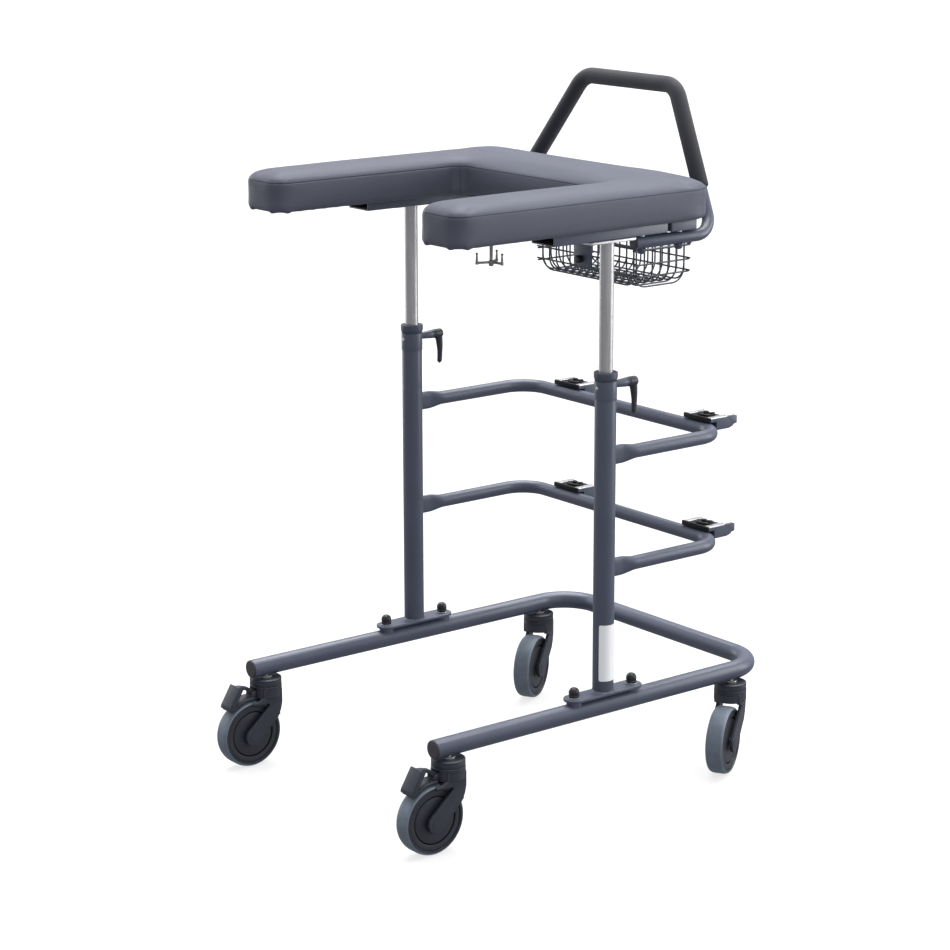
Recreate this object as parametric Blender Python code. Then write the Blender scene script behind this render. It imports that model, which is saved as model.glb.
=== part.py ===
"""Gait trainer: a wheeled walking frame with a height-adjustable, U-shaped forearm pad.

Metres, +Z up, floor at Z = 0. The user stands at -Y inside the open end and walks towards +Y.
The posts stand on Y = 0 and the frame is symmetric about X = 0. Only the front casters,
swivelled as they were parked, break that symmetry.
"""

import math

import bpy
import bmesh
from mathutils import Matrix, Quaternion, Vector

# Fits
GAP = 0.0003                    # between pieces that touch
RUNNING_GAP = 0.0005            # between pieces that turn or slide on each other

# Facets round each kind of piece
WHEEL_SIDES = 20
POST_SIDES = 16
CASTER_SIDES = 14
BASE_SIDES = 12
TUBE_SIDES = 10
SMALL_SIDES = 8
HOLE_SIDES = 6
BEND_STEPS = 3
BASKET_BEND_STEPS = 2

# Casters
WHEEL_RADIUS = 0.0625
TYRE_WIDTH = 0.032
TYRE_SHOULDER = 0.008
RIM_RADIUS = 0.0535
HUB_DISC_RADIUS = 0.043
HUB_RECESS = 0.002
AXLE_RADIUS = 0.005
CASTER_TRAIL = 0.040
CASTER_HEAD_RADIUS = 0.0285
CASTER_HEAD_TOP = 0.1645
CASTER_HEAD_HEIGHT = 0.0130
FORK_INNER_HALF = 0.0185
FORK_ARM_THICKNESS = 0.0065
FORK_HOOD_HEIGHT = 0.0225
FORK_ARM_END_RADIUS = 0.0172
FORK_ARM_OVERRUN = 0.0030
FORK_LEADING_Y = 0.0205
FORK_LEADING_CURVE = ((0.0, 0.0540), (-0.0030, 0.0405), (-0.0085, 0.0275))
FORK_TRAILING_Y = -0.0195
STEM_RADIUS = 0.006
STEM_DEPTH = 0.010
CASTER_WASHER_RADIUS = 0.012
REAR_CASTER_Y = -0.347
FRONT_CASTER_Y = 0.312
FRONT_SWIVEL = math.radians(30.0)

# Brake pedal, in the caster's own frame: Y back from the swivel axis is negative
PEDAL_WIDTH = 0.032
PEDAL_TOP = (-0.0680, 0.1592)
PEDAL_LIP = (-0.0921, 0.1193)
PEDAL_THICKNESS = 0.0105
PEDAL_LIP_CHAMFER = 0.0035
PEDAL_LIP_CORNER = 0.88
PEDAL_PIVOT = (-0.0190, 0.1380)
PEDAL_PIN_RADIUS = 0.0025
PEDAL_PIN_HALF = 0.0190
PEDAL_ARM_THICKNESS = 0.0050
PEDAL_ARM_RADIUS = 0.0055
SHOE_CLEARANCE = 0.0058
SHOE_THICKNESS = 0.0040
SHOE_FROM = math.radians(92.0)
SHOE_TO = math.radians(132.0)

# Base
TRACK_HALF = 0.280
BASE_REAR_Y = -0.378
BASE_FRONT_Y = 0.393
BASE_BEND_RADIUS = 0.075
BASE_TUBE_RADIUS = 0.017
BASE_TUBE_WALL = 0.002
BASE_TUBE_Z = 0.184

# Posts and foot plates
POST_RADIUS = 0.019
POST_WALL = 0.002
POST_TOP = 0.7745
POST_SLEEVE_RADIUS = 0.0198
POST_SLEEVE_LENGTH = 0.0335
FOOT_PLATE_LENGTH = 0.171
FOOT_PLATE_WIDTH = 0.040
FOOT_PLATE_THICKNESS = 0.005
FOOT_PLATE_LIFT = 0.005
FOOT_BOLT_SPACING = 0.134
FOOT_BOLT_RADIUS = 0.004
FOOT_CAP_RADIUS = 0.0098
FOOT_CAP_HEIGHT = 0.0195
SADDLE_RADIUS = 0.0135

# Guard bars
GUARD_RADIUS = 0.0125
GUARD_WALL = 0.0015
GUARD_FRONT_Y = 0.2815
GUARD_BEND_RADIUS = 0.055
GUARD_UPPER_Z = 0.639
GUARD_LOWER_Z = 0.435
GUARD_FLAT_HALF_HEIGHT = 0.017
GUARD_FLAT_HALF_WIDTH = 0.0055
GUARD_FLAT_LENGTH = 0.018
GUARD_FLARE_LENGTH = 0.034

# Accessory couplers on the guard bars
COUPLER_RIGHT_INSET = 0.0665
COUPLER_LEFT_INSET = 0.1240
COUPLER_WIDTH = 0.070
COUPLER_REAR_Y = 0.2765
COUPLER_DEPTH = 0.068
COUPLER_TOP_ABOVE_BAR = 0.022
COUPLER_SKIRT = 0.0205
COUPLER_WALL = 0.003
COUPLER_STRIP_HEIGHT = 0.0068
COUPLER_STRIP_DEPTH = 0.004
COUPLER_LAND_WIDTH = 0.0132
COUPLER_LAND_LENGTH = 0.0395
COUPLER_LAND_RISE = 0.0020
COUPLER_LAND_STEP = 0.0005
KNOB_HALF_LENGTH = 0.019
KNOB_HALF_WIDTH = 0.0125
KNOB_HEIGHT = 0.0035
KNOB_RIDGE_HEIGHT = 0.0060
KNOB_PIN_RADIUS = 0.005
KNOB_RIM_SHARE = 0.9
KNOB_RIDGE_SHARE = 0.78
KNOB_RIDGE_HALF_WIDTH = 0.0030
KNOB_RIDGE_ROUNDING = 0.87

# Clamping levers
LEVER_BELOW_POST_TOP = 0.0090
LEVER_Z = POST_TOP - LEVER_BELOW_POST_TOP
LEVER_BOSS_LENGTH = 0.0262
LEVER_BOSS_ROOT_RADIUS = 0.0062
LEVER_BOSS_RADIUS = 0.0082
LEVER_HEAD_RADIUS = 0.0085
LEVER_HEAD_LENGTH = 0.023
LEVER_ARM_LENGTH = 0.056
LEVER_ARM_BOW = 0.012
LEVER_ARM_ROOT = 0.0072
LEVER_ARM_TIP = 0.0054
LEVER_SCREW_RADIUS = 0.004

# Guide bush in each post
BUSH_RADIUS = 0.0211
BUSH_TOP_ABOVE_POST = 0.0155
BUSH_FLANGE_HEIGHT = 0.0095
BUSH_SLEEVE_LENGTH = 0.045

# Telescopic inner tubes, rails and cross channel
INNER_TUBE_RADIUS = 0.0125
INNER_TUBE_WALL = 0.0015
INNER_TUBE_LENGTH = 0.482
HEAD_PLATE_LENGTH = 0.104
HEAD_PLATE_WIDTH = 0.040
HEAD_PLATE_THICKNESS = 0.0045
RAIL_BOTTOM_Z = 1.0215
RAIL_X = 0.2655
RAIL_WIDTH = 0.060
RAIL_HEIGHT = 0.0175
RAIL_WALL = 0.0025
RAIL_REAR_Y = -0.130
RAIL_FRONT_Y = 0.125
CROSS_REAR_Y = 0.134
CROSS_FRONT_Y = 0.194

# Upholstered arm pad and its board
PAD_OUTER_X = 0.318
PAD_INNER_X = 0.200
PAD_REAR_Y = -0.342
PAD_INNER_Y = 0.056
PAD_FRONT_Y = 0.232
PAD_FRONT_RADIUS = 0.062
PAD_END_RADIUS = 0.025
PAD_INNER_RADIUS = 0.024
PAD_LEAST_RADIUS = 0.006
PAD_SEAM_HEIGHT = 0.0530
PAD_CROWN = 0.0165
PAD_BULGE = 0.0012
BOARD_THICKNESS = 0.015
BOARD_INSET = 0.005

# Push handle
HANDLE_RADIUS = 0.011
HANDLE_WALL = 0.0015
HANDLE_X = 0.2815
HANDLE_REAR_Y = 0.060
HANDLE_BEND_Y = 0.2425
HANDLE_TOP_X = 0.126
HANDLE_TOP_Y = 0.292
HANDLE_TOP_Z = 1.2515
HANDLE_BEND_RADIUS = 0.045
HANDLE_SPACER_HEIGHT = 0.005
GRIP_RADIUS = 0.015
GRIP_END_Z = 1.083
HANDLE_BOLT_REAR_Y = 0.077
HANDLE_BOLT_FRONT_Y = 0.163
HANDLE_BOLT_RADIUS = 0.004
HANDLE_NUT_RADIUS = 0.0085
HANDLE_NUT_HEIGHT = 0.0095
HANDLE_SPACER_RADIUS = 0.008

# Wire basket, its bracket and thumb knob
BASKET_HALF_X = 0.132
BASKET_REAR_Y = 0.195
BASKET_FRONT_Y = 0.317
BASKET_RIM_Z = 0.960
BASKET_DEPTH = 0.067
BASKET_BEND_RADIUS = 0.028
BASKET_LONG_WIRES = 14
BASKET_CROSS_WIRES = 7
BASKET_LEVEL_SPACING = 0.0224
BASKET_WIRE = 0.0028
BASKET_RIM_WIRE = 0.0042
BASKET_OVERHANG = 0.006
BRACKET_WIDTH = 0.044
BRACKET_Y = 0.180
BRACKET_BOTTOM_Z = 0.920
BRACKET_WALL = 0.0025
BRACKET_HOOK_WIDTH = 0.006
THUMB_KNOB_RADIUS = 0.0075
THUMB_KNOB_LENGTH = 0.012
THUMB_KNOB_Z = 0.9320
THUMB_PIN_RADIUS = 0.003
THUMB_PIN_LENGTH = 0.006

# Bag hook under the right arm of the pad
HOOK_X = 0.247
HOOK_Y = -0.226
HOOK_DROP = 0.0315
HOOK_ROD_RADIUS = 0.0026
HOOK_REACH = 0.025
HOOK_ARM_RADIUS = 0.0020
HOOK_PEG_HEIGHT = 0.0130
HOOK_BALL_RADIUS = 0.0028
HOOK_ARM_ANGLES = (112.0, 232.0, 352.0)

SIDES = (("right", 1.0), ("left", -1.0))

PAINT = ((0.080, 0.095, 0.135), 0.42, 0.25)
SATIN_STEEL = ((0.62, 0.62, 0.63), 0.28, 1.0)
CASTER_PLASTIC = ((0.045, 0.047, 0.055), 0.50, 0.0)
WHEEL_PLASTIC = ((0.055, 0.058, 0.066), 0.48, 0.0)
TYRE_RUBBER = ((0.110, 0.145, 0.180), 0.62, 0.0)
BLACK_PLASTIC = ((0.022, 0.023, 0.028), 0.45, 0.0)
BUSH_PLASTIC = ((0.075, 0.088, 0.125), 0.45, 0.0)
VINYL = ((0.105, 0.108, 0.130), 0.48, 0.0)
BOARD = ((0.33, 0.22, 0.13), 0.75, 0.0)
FOAM = ((0.040, 0.040, 0.050), 0.85, 0.0)
COATED_WIRE = ((0.045, 0.050, 0.065), 0.40, 0.3)


def clear_scene():
    for obj in list(bpy.data.objects):
        bpy.data.objects.remove(obj, do_unlink=True)


def make_material(name, finish):
    colour, roughness, metallic = finish
    material = bpy.data.materials.new(name)
    material.use_nodes = True
    shader = material.node_tree.nodes["Principled BSDF"]
    shader.inputs["Base Color"].default_value = (*colour, 1.0)
    shader.inputs["Roughness"].default_value = roughness
    shader.inputs["Metallic"].default_value = metallic
    return material


def make_empty(name, location=(0.0, 0.0, 0.0), parent=None, turn=0.0):
    empty = bpy.data.objects.new(name, None)
    empty.location = location
    empty.rotation_euler = (0.0, 0.0, turn)
    empty.parent = parent
    bpy.context.scene.collection.objects.link(empty)
    return empty


def make_object(name, shape, finish=None, parent=None, location=(0.0, 0.0, 0.0)):
    """Turns a bmesh into an object, smooth except along its sharp edges."""
    mesh = bpy.data.meshes.new(name)
    shape.to_mesh(mesh)
    shape.free()
    mesh.shade_smooth()
    mesh.set_sharp_from_angle(angle=math.radians(35.0))
    obj = bpy.data.objects.new(name, mesh)
    obj.location = location
    obj.parent = parent
    if finish:
        mesh.materials.append(make_material(name, finish))
    bpy.context.scene.collection.objects.link(obj)
    return obj


def combine(target, operation, shapes):
    """Joins shapes to the target, or cuts them from it, one after another."""
    tools = [make_object("tool", shape) for shape in shapes]
    for tool in tools:
        tool.hide_render = True
        tool.display_type = "WIRE"
        tool.parent = target.parent
        tool.location = target.location
        modifier = target.modifiers.new(operation.lower(), "BOOLEAN")
        modifier.operation = operation
        modifier.object = tool
    bpy.context.view_layer.update()
    graph = bpy.context.evaluated_depsgraph_get()
    mesh = bpy.data.meshes.new_from_object(target.evaluated_get(graph))
    target.modifiers.clear()
    target.data = mesh
    mesh.shade_smooth()
    mesh.set_sharp_from_angle(angle=math.radians(35.0))
    for tool in tools:
        bpy.data.objects.remove(tool, do_unlink=True)
    return target


def join(target, *shapes):
    return combine(target, "UNION", shapes)


def cut(target, *shapes):
    return combine(target, "DIFFERENCE", shapes)


def skin_rings(rings, closed=False):
    """A closed skin over rings of equal count: capped at both ends, or joined last to first.

    Its faces point outwards, whichever way the rings run.
    """
    shape = bmesh.new()
    loops = [[shape.verts.new(point) for point in ring] for ring in rings]
    pairs = list(zip(loops, loops[1:]))
    if closed:
        pairs.append((loops[-1], loops[0]))
    for lower, upper in pairs:
        for i in range(len(lower)):
            j = (i + 1) % len(lower)
            shape.faces.new((lower[i], lower[j], upper[j], upper[i]))
    if not closed:
        shape.faces.new(loops[0][::-1])
        shape.faces.new(loops[-1])
    if shape.calc_volume(signed=True) < 0:
        bmesh.ops.reverse_faces(shape, faces=shape.faces)
    return shape


def turned(outline, segments, ring=False):
    """Turns an outline of (radius, height) about Z. It runs from pole to pole, or round a ring."""
    rings = []
    for radius, height in outline:
        angles = (math.tau * i / segments for i in range(segments))
        rings.append([(radius * math.cos(a), radius * math.sin(a), height) for a in angles])
    shape = skin_rings(rings, closed=ring)
    bmesh.ops.remove_doubles(shape, verts=shape.verts, dist=1e-6)
    return shape


def dome(radius, base, height, steps=3):
    """Outline of a dome from its base edge to its pole."""
    points = []
    for i in range(steps + 1):
        angle = math.pi / 2 * i / steps
        points.append((radius * math.cos(angle), base + height * math.sin(angle)))
    return points


def extruded(outline, low, high, axis="Z"):
    """Extrudes a closed outline of (u, v) along X, Y or Z: (y, z), (x, z) or (x, y)."""
    place = {
        "X": lambda u, v, w: (w, u, v),
        "Y": lambda u, v, w: (u, w, v),
        "Z": lambda u, v, w: (u, v, w),
    }[axis]
    return skin_rings([[place(u, v, w) for u, v in outline] for w in (low, high)])


def block(x, y, z):
    """A box from three (low, high) pairs."""
    outline = [(x[0], y[0]), (x[1], y[0]), (x[1], y[1]), (x[0], y[1])]
    return extruded(outline, z[0], z[1])


def rod(start, end, radius, end_radius=None, segments=SMALL_SIDES):
    """A round or conical rod between two points."""
    start, end = Vector(start), Vector(end)
    tip = radius if end_radius is None else end_radius
    shape = turned([(0, 0), (radius, 0), (tip, (end - start).length), (0, (end - start).length)], segments)
    turn = (end - start).to_track_quat("Z", "Y").to_matrix().to_4x4()
    shape.transform(Matrix.Translation(start) @ turn)
    return shape


def bore(start, end, radius, segments=HOLE_SIDES):
    """A cutter whose flats, not its corners, lie at the radius, so that a round pin fits in."""
    return rod(start, end, radius / math.cos(math.pi / segments), segments=segments)


def rounded_box_outline(half_x, half_y, radius, steps=4):
    """Outline of a rectangle with round corners, or of a stadium at full radius."""
    points = []
    for quarter, (sx, sy) in enumerate(((1, 1), (-1, 1), (-1, -1), (1, -1))):
        for i in range(steps + 1):
            angle = math.pi / 2 * (quarter + i / steps)
            x = sx * (half_x - radius) + radius * math.cos(angle)
            y = sy * (half_y - radius) + radius * math.sin(angle)
            points.append((x, y))
    kept = [p for p, q in zip(points, points[1:] + points[:1]) if math.dist(p, q) > 1e-6]
    return kept


def filleted(corners, radius, steps=5):
    """The corner points of a path, with each inner corner rounded by an arc."""
    corners = [Vector(c) for c in corners]
    points = [corners[0]]
    for before, corner, after in zip(corners, corners[1:], corners[2:]):
        back = (before - corner).normalized()
        ahead = (after - corner).normalized()
        half = back.angle(ahead) / 2
        centre = corner + (back + ahead).normalized() * radius / math.sin(half)
        start = corner + back * radius / math.tan(half) - centre
        turn = back.cross(ahead)
        sweep = math.pi - 2 * half
        for i in range(steps + 1):
            points.append(centre + Quaternion(-turn, sweep * i / steps) @ start)
    points.append(corners[-1])
    return points


def path_frames(points, side):
    """At each path point: the point and the two unit vectors that span its mitred section."""
    frames = []
    for i, point in enumerate(points):
        into = (point - points[i - 1]).normalized() if i else None
        out = (points[i + 1] - point).normalized() if i + 1 < len(points) else None
        along = ((into or out) + (out or into)).normalized()
        across = (side - along * side.dot(along)).normalized()
        frames.append((point, across, along.cross(across)))
        if out:
            side = (side - out * side.dot(out)).normalized()
    return frames


def circle_section(radius, sides):
    angles = [math.tau * i / sides for i in range(sides)]
    return [(radius * math.cos(a), radius * math.sin(a)) for a in angles]


def swept(points, sections, side=(0.0, 0.0, 1.0), bore=None):
    """Sweeps a section, or one section for each point, along a path. A bore leaves a tube."""
    frames = path_frames([Vector(p) for p in points], Vector(side))

    def rings(outlines):
        if not isinstance(outlines[0], list):
            outlines = [outlines] * len(frames)
        return [[p + a * u + b * v for u, v in outline] for (p, a, b), outline in zip(frames, outlines)]

    outside = rings(sections)
    if bore is None:
        return skin_rings(outside)
    return skin_rings(outside + rings(bore)[::-1], closed=True)


def mirrored(points):
    """A path that starts on the right side, carried on to its mirror image on the left."""
    return points + [(-x, y, z) for x, y, z in reversed(points)]


# Base: the U-shaped tube, its plugs and what stands on it

def caster_places():
    for side, sign in SIDES:
        yield f"rear_{side}", sign * TRACK_HALF, REAR_CASTER_Y, 0.0
        yield f"front_{side}", sign * TRACK_HALF, FRONT_CASTER_Y, FRONT_SWIVEL


def foot_bolt_places():
    for end, way in (("front", 1.0), ("rear", -1.0)):
        yield end, way * FOOT_BOLT_SPACING / 2


def build_base_tube(root):
    corners = mirrored([(TRACK_HALF, BASE_REAR_Y, BASE_TUBE_Z), (TRACK_HALF, BASE_FRONT_Y, BASE_TUBE_Z)])
    path = filleted(corners, BASE_BEND_RADIUS, BEND_STEPS + 1)
    outer = circle_section(BASE_TUBE_RADIUS, BASE_SIDES)
    inner = circle_section(BASE_TUBE_RADIUS - BASE_TUBE_WALL, BASE_SIDES)
    tube = make_object("base_tube", swept(path, outer, bore=inner), PAINT, root)
    bores = []
    for _, x, y, _ in caster_places():
        bores.append(bore((x, y, CASTER_HEAD_TOP - 0.01), (x, y, BASE_TUBE_Z), STEM_RADIUS + GAP))
    for _, sign in SIDES:
        for _, y in foot_bolt_places():
            top = BASE_TUBE_Z + 2 * BASE_TUBE_RADIUS
            x = sign * TRACK_HALF
            bores.append(bore((x, y, BASE_TUBE_Z), (x, y, top), FOOT_BOLT_RADIUS + GAP))
    cut(tube, merge_shapes(bores))


def build_plugs(root):
    bore = BASE_TUBE_RADIUS - BASE_TUBE_WALL - GAP
    lip = 0.0025
    outline = [(0, -0.014), (bore - 0.001, -0.014), (bore, -0.012), (bore, 0)]
    outline += [(BASE_TUBE_RADIUS, 0), (BASE_TUBE_RADIUS - 0.0002, lip * 0.5)]
    outline += [(BASE_TUBE_RADIUS - 0.0018, lip), (0, lip)]
    for side, sign in SIDES:
        shape = turned(outline, BASE_SIDES)
        shape.transform(Matrix.Rotation(math.pi / 2, 4, "X"))
        place = (sign * TRACK_HALF, BASE_REAR_Y - GAP, BASE_TUBE_Z)
        make_object(f"base_plug_{side}", shape, BLACK_PLASTIC, root, place)


def foot_plate_top():
    return BASE_TUBE_Z + BASE_TUBE_RADIUS + FOOT_PLATE_LIFT + FOOT_PLATE_THICKNESS


def build_foot_plates(root):
    top = foot_plate_top()
    bottom = top - FOOT_PLATE_THICKNESS
    outline = rounded_box_outline(FOOT_PLATE_WIDTH / 2, FOOT_PLATE_LENGTH / 2, FOOT_PLATE_WIDTH / 2)
    for side, sign in SIDES:
        plate = make_object(f"foot_plate_{side}", extruded(outline, bottom, top), PAINT, root)
        plate.location.x = sign * TRACK_HALF
        low = BASE_TUBE_Z + 0.55 * BASE_TUBE_RADIUS
        saddles = [rod((0, y, low), (0, y, top - 0.001), SADDLE_RADIUS) for _, y in foot_bolt_places()]
        join(plate, *saddles)
        length = FOOT_PLATE_LENGTH
        tube_path = [(0, -length, BASE_TUBE_Z), (0, length, BASE_TUBE_Z)]
        tube = swept(tube_path, circle_section(BASE_TUBE_RADIUS + GAP, BASE_SIDES))
        holes = []
        for _, y in foot_bolt_places():
            holes.append(bore((0, y, low - 0.01), (0, y, top + 0.01), FOOT_BOLT_RADIUS + GAP))
        cut(plate, tube, *holes)


def build_foot_bolts(root):
    """Bolt, washer and domed cap in one."""
    top = foot_plate_top() + GAP
    washer = 0.0016
    outline = [(0, BASE_TUBE_Z + 0.004), (FOOT_BOLT_RADIUS, BASE_TUBE_Z + 0.004), (FOOT_BOLT_RADIUS, top)]
    outline += [(FOOT_CAP_RADIUS + 0.0006, top), (FOOT_CAP_RADIUS + 0.0006, top + washer)]
    outline += [(FOOT_CAP_RADIUS, top + washer)]
    outline += dome(FOOT_CAP_RADIUS, top + FOOT_CAP_HEIGHT * 0.45, FOOT_CAP_HEIGHT * 0.55)
    for side, sign in SIDES:
        for end, y in foot_bolt_places():
            place = (sign * TRACK_HALF, y, 0.0)
            shape = turned(outline, SMALL_SIDES)
            make_object(f"foot_bolt_{end}_{side}", shape, BLACK_PLASTIC, root, place)


def build_posts(root):
    bottom = foot_plate_top() + GAP
    step = POST_TOP - POST_SLEEVE_LENGTH
    inside = POST_RADIUS - POST_WALL
    outline = [(inside, bottom), (POST_RADIUS, bottom), (POST_RADIUS, step)]
    outline += [(POST_SLEEVE_RADIUS, step + 0.0008), (POST_SLEEVE_RADIUS, POST_TOP), (inside, POST_TOP)]
    rivet = 0.0045
    for side, sign in SIDES:
        place = (sign * TRACK_HALF, 0.0, 0.0)
        post = make_object(f"post_{side}", turned(outline, POST_SIDES, ring=True), PAINT, root, place)
        middle = POST_RADIUS - POST_WALL / 2
        boss = rod(
            (0, middle, LEVER_Z),
            (0, POST_SLEEVE_RADIUS + LEVER_BOSS_LENGTH, LEVER_Z),
            LEVER_BOSS_ROOT_RADIUS,
            LEVER_BOSS_RADIUS,
        )
        rivet_z = LEVER_Z - 0.003
        head = rod((0, -middle, rivet_z), (0, -POST_SLEEVE_RADIUS - 0.002, rivet_z), rivet, rivet * 0.6)
        join(post, boss, head)
        far = POST_SLEEVE_RADIUS + LEVER_BOSS_LENGTH + 0.01
        cut(post, bore((0, inside - 0.004, LEVER_Z), (0, far, LEVER_Z), LEVER_SCREW_RADIUS + GAP))


def build_bushes(root):
    """Plastic guide in the mouth of the post, drilled for the lever's screw."""
    inside = INNER_TUBE_RADIUS + RUNNING_GAP
    sleeve = POST_RADIUS - POST_WALL - GAP
    low = POST_TOP - BUSH_SLEEVE_LENGTH
    top = POST_TOP + BUSH_TOP_ABOVE_POST
    flange = top - BUSH_FLANGE_HEIGHT
    outline = [(inside, low), (sleeve, low), (sleeve, POST_TOP + GAP), (POST_RADIUS, POST_TOP + GAP)]
    outline += [(BUSH_RADIUS, flange), (BUSH_RADIUS, top - 0.0010), (BUSH_RADIUS - 0.0010, top)]
    outline += [(inside, top)]
    for side, sign in SIDES:
        place = (sign * TRACK_HALF, 0.0, 0.0)
        shape = turned(outline, POST_SIDES, ring=True)
        bush = make_object(f"post_bush_{side}", shape, BUSH_PLASTIC, root, place)
        cut(bush, bore((0, inside - 0.004, LEVER_Z), (0, sleeve + 0.004, LEVER_Z), LEVER_SCREW_RADIUS + GAP))


def build_levers(root):
    """Clamping lever: screw through the boss, round head and a tapered arm that hangs down."""
    tip_y = INNER_TUBE_RADIUS + RUNNING_GAP
    head_y = POST_SLEEVE_RADIUS + LEVER_BOSS_LENGTH + GAP
    end_y = head_y + LEVER_HEAD_LENGTH
    outline = [(0, tip_y), (LEVER_SCREW_RADIUS, tip_y), (LEVER_SCREW_RADIUS, head_y)]
    outline += [(LEVER_HEAD_RADIUS - 0.0006, head_y), (LEVER_HEAD_RADIUS, head_y + 0.001)]
    outline += dome(LEVER_HEAD_RADIUS, end_y - 0.0035, 0.0035, steps=2)
    middle = head_y + 0.5 * LEVER_HEAD_LENGTH
    arm_path = []
    arm_sections = []
    steps = 4
    for i in range(steps + 1):
        t = i / steps
        arm_path.append((0, middle + LEVER_ARM_BOW * (1 - (1 - t) ** 2), -LEVER_ARM_LENGTH * t))
        half = LEVER_ARM_ROOT + (LEVER_ARM_TIP - LEVER_ARM_ROOT) * t
        if i == steps:
            half *= 0.7
        arm_sections.append([(u * half * 0.62, v * half) for u, v in circle_section(1.0, SMALL_SIDES)])
    for side, sign in SIDES:
        shape = turned(outline, TUBE_SIDES)
        shape.transform(Matrix.Rotation(-math.pi / 2, 4, "X"))
        place = (sign * TRACK_HALF, 0.0, LEVER_Z)
        lever = make_object(f"clamp_lever_{side}", shape, BLACK_PLASTIC, root, place)
        join(lever, swept(arm_path, arm_sections, side=(0.0, 1.0, 0.0)))


def guard_section(t, radius):
    """Section of the guard bar: upright and flattened at the welded end, round after the flare."""
    t = min(max(t, 0.0), 1.0)
    ease = t * t * (3 - 2 * t)
    thinner = GUARD_RADIUS - radius
    tall = (GUARD_FLAT_HALF_HEIGHT - thinner) * (1 - ease) + radius * ease
    wide = (GUARD_FLAT_HALF_WIDTH - thinner) * (1 - ease) + radius * ease
    squareness = 2.0 + 1.2 * (1 - ease)
    section = []
    for u, v in circle_section(1.0, TUBE_SIDES):
        norm = (abs(u) ** squareness + abs(v) ** squareness) ** (1 / squareness)
        section.append((u / norm * tall, v / norm * wide))
    return section


def build_guard_bars(root):
    weld = math.sqrt(POST_RADIUS ** 2 - GUARD_FLAT_HALF_WIDTH ** 2)
    for name, height in (("guard_bar_upper", GUARD_UPPER_Z), ("guard_bar_lower", GUARD_LOWER_Z)):
        corners = mirrored([(TRACK_HALF, weld, height), (TRACK_HALF, GUARD_FRONT_Y, height)])
        bend = filleted(corners, GUARD_BEND_RADIUS, BEND_STEPS)
        flare = [0.0, 0.33, 0.67, 1.0]
        start = [(TRACK_HALF, weld + GUARD_FLAT_LENGTH + GUARD_FLARE_LENGTH * t, height) for t in flare]
        end = [(-x, y, z) for x, y, z in reversed(start)]
        points = [bend[0]] + start + bend[1:-1] + end + [bend[-1]]
        where = [0.0] + flare + [1.0] * (len(bend) - 2) + flare[::-1] + [0.0]
        outer = [guard_section(t, GUARD_RADIUS) for t in where]
        inner = [guard_section(t, GUARD_RADIUS - GUARD_WALL) for t in where]
        bar = make_object(name, swept(points, outer, bore=inner), PAINT, root)
        low, high = height - 0.03, height + 0.03
        posts = []
        for _, sign in SIDES:
            r = POST_RADIUS + GAP
            post = turned([(0, low), (r, low), (r, high), (0, high)], POST_SIDES)
            post.transform(Matrix.Translation((sign * TRACK_HALF, 0, 0)))
            posts.append(post)
        cut(bar, *posts)


def coupler_places():
    right, left = TRACK_HALF - COUPLER_RIGHT_INSET, COUPLER_LEFT_INSET - TRACK_HALF
    for row, height in (("upper", GUARD_UPPER_Z), ("lower", GUARD_LOWER_Z)):
        yield f"{row}_right", right, height
        yield f"{row}_left", left, height


def coupler_knob_y():
    return COUPLER_REAR_Y + COUPLER_STRIP_DEPTH + COUPLER_LAND_LENGTH * 0.5


def build_couplers(root):
    """Folded bracket behind the bar: a knob recess between two lands, and a stop strip."""
    half = COUPLER_WIDTH / 2
    front = COUPLER_REAR_Y + COUPLER_DEPTH
    behind_bar = GUARD_FRONT_Y + GUARD_RADIUS * math.cos(math.pi / TUBE_SIDES) + GAP
    strip_y = COUPLER_REAR_Y + COUPLER_STRIP_DEPTH
    land_end = strip_y + COUPLER_LAND_LENGTH
    for name, x, height in coupler_places():
        top = height + COUPLER_TOP_ABOVE_BAR
        floor = top - COUPLER_LAND_RISE
        under = top - COUPLER_STRIP_HEIGHT - 0.001
        low = top - COUPLER_SKIRT - COUPLER_WALL
        profile = [(COUPLER_REAR_Y, top + COUPLER_LAND_STEP), (COUPLER_REAR_Y, under), (behind_bar, under)]
        profile += [(behind_bar, low), (front - 0.020, low), (front - 0.010, low + 0.003)]
        profile += [(front - 0.008, low + 0.006), (front, low + 0.0075), (front, top - 0.0015)]
        profile += [(front - 0.002, top - COUPLER_LAND_STEP), (land_end, top - COUPLER_LAND_STEP)]
        profile += [(land_end, floor), (strip_y, floor), (strip_y, top + COUPLER_LAND_STEP)]
        shape = extruded(profile, -half, half, "X")
        coupler = make_object(f"coupler_{name}", shape, PAINT, root, (x, 0.0, 0.0))
        lands = []
        for sign in (1.0, -1.0):
            low_x, high_x = sorted((sign * half, sign * (half - COUPLER_LAND_WIDTH)))
            lands.append(block((low_x, high_x), (strip_y - 0.001, land_end + 0.001), (floor - 0.001, top)))
        join(coupler, *lands)
        inside = half - COUPLER_WALL
        pocket_y = (behind_bar + COUPLER_WALL, front + 0.01)
        pocket = block((-inside, inside), pocket_y, (low - 0.01, under - COUPLER_WALL))
        knob_y = coupler_knob_y()
        knob_bore = bore((0, knob_y, under - 0.02), (0, knob_y, top + 0.01), KNOB_PIN_RADIUS + RUNNING_GAP)
        cut(coupler, pocket, knob_bore)


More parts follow.
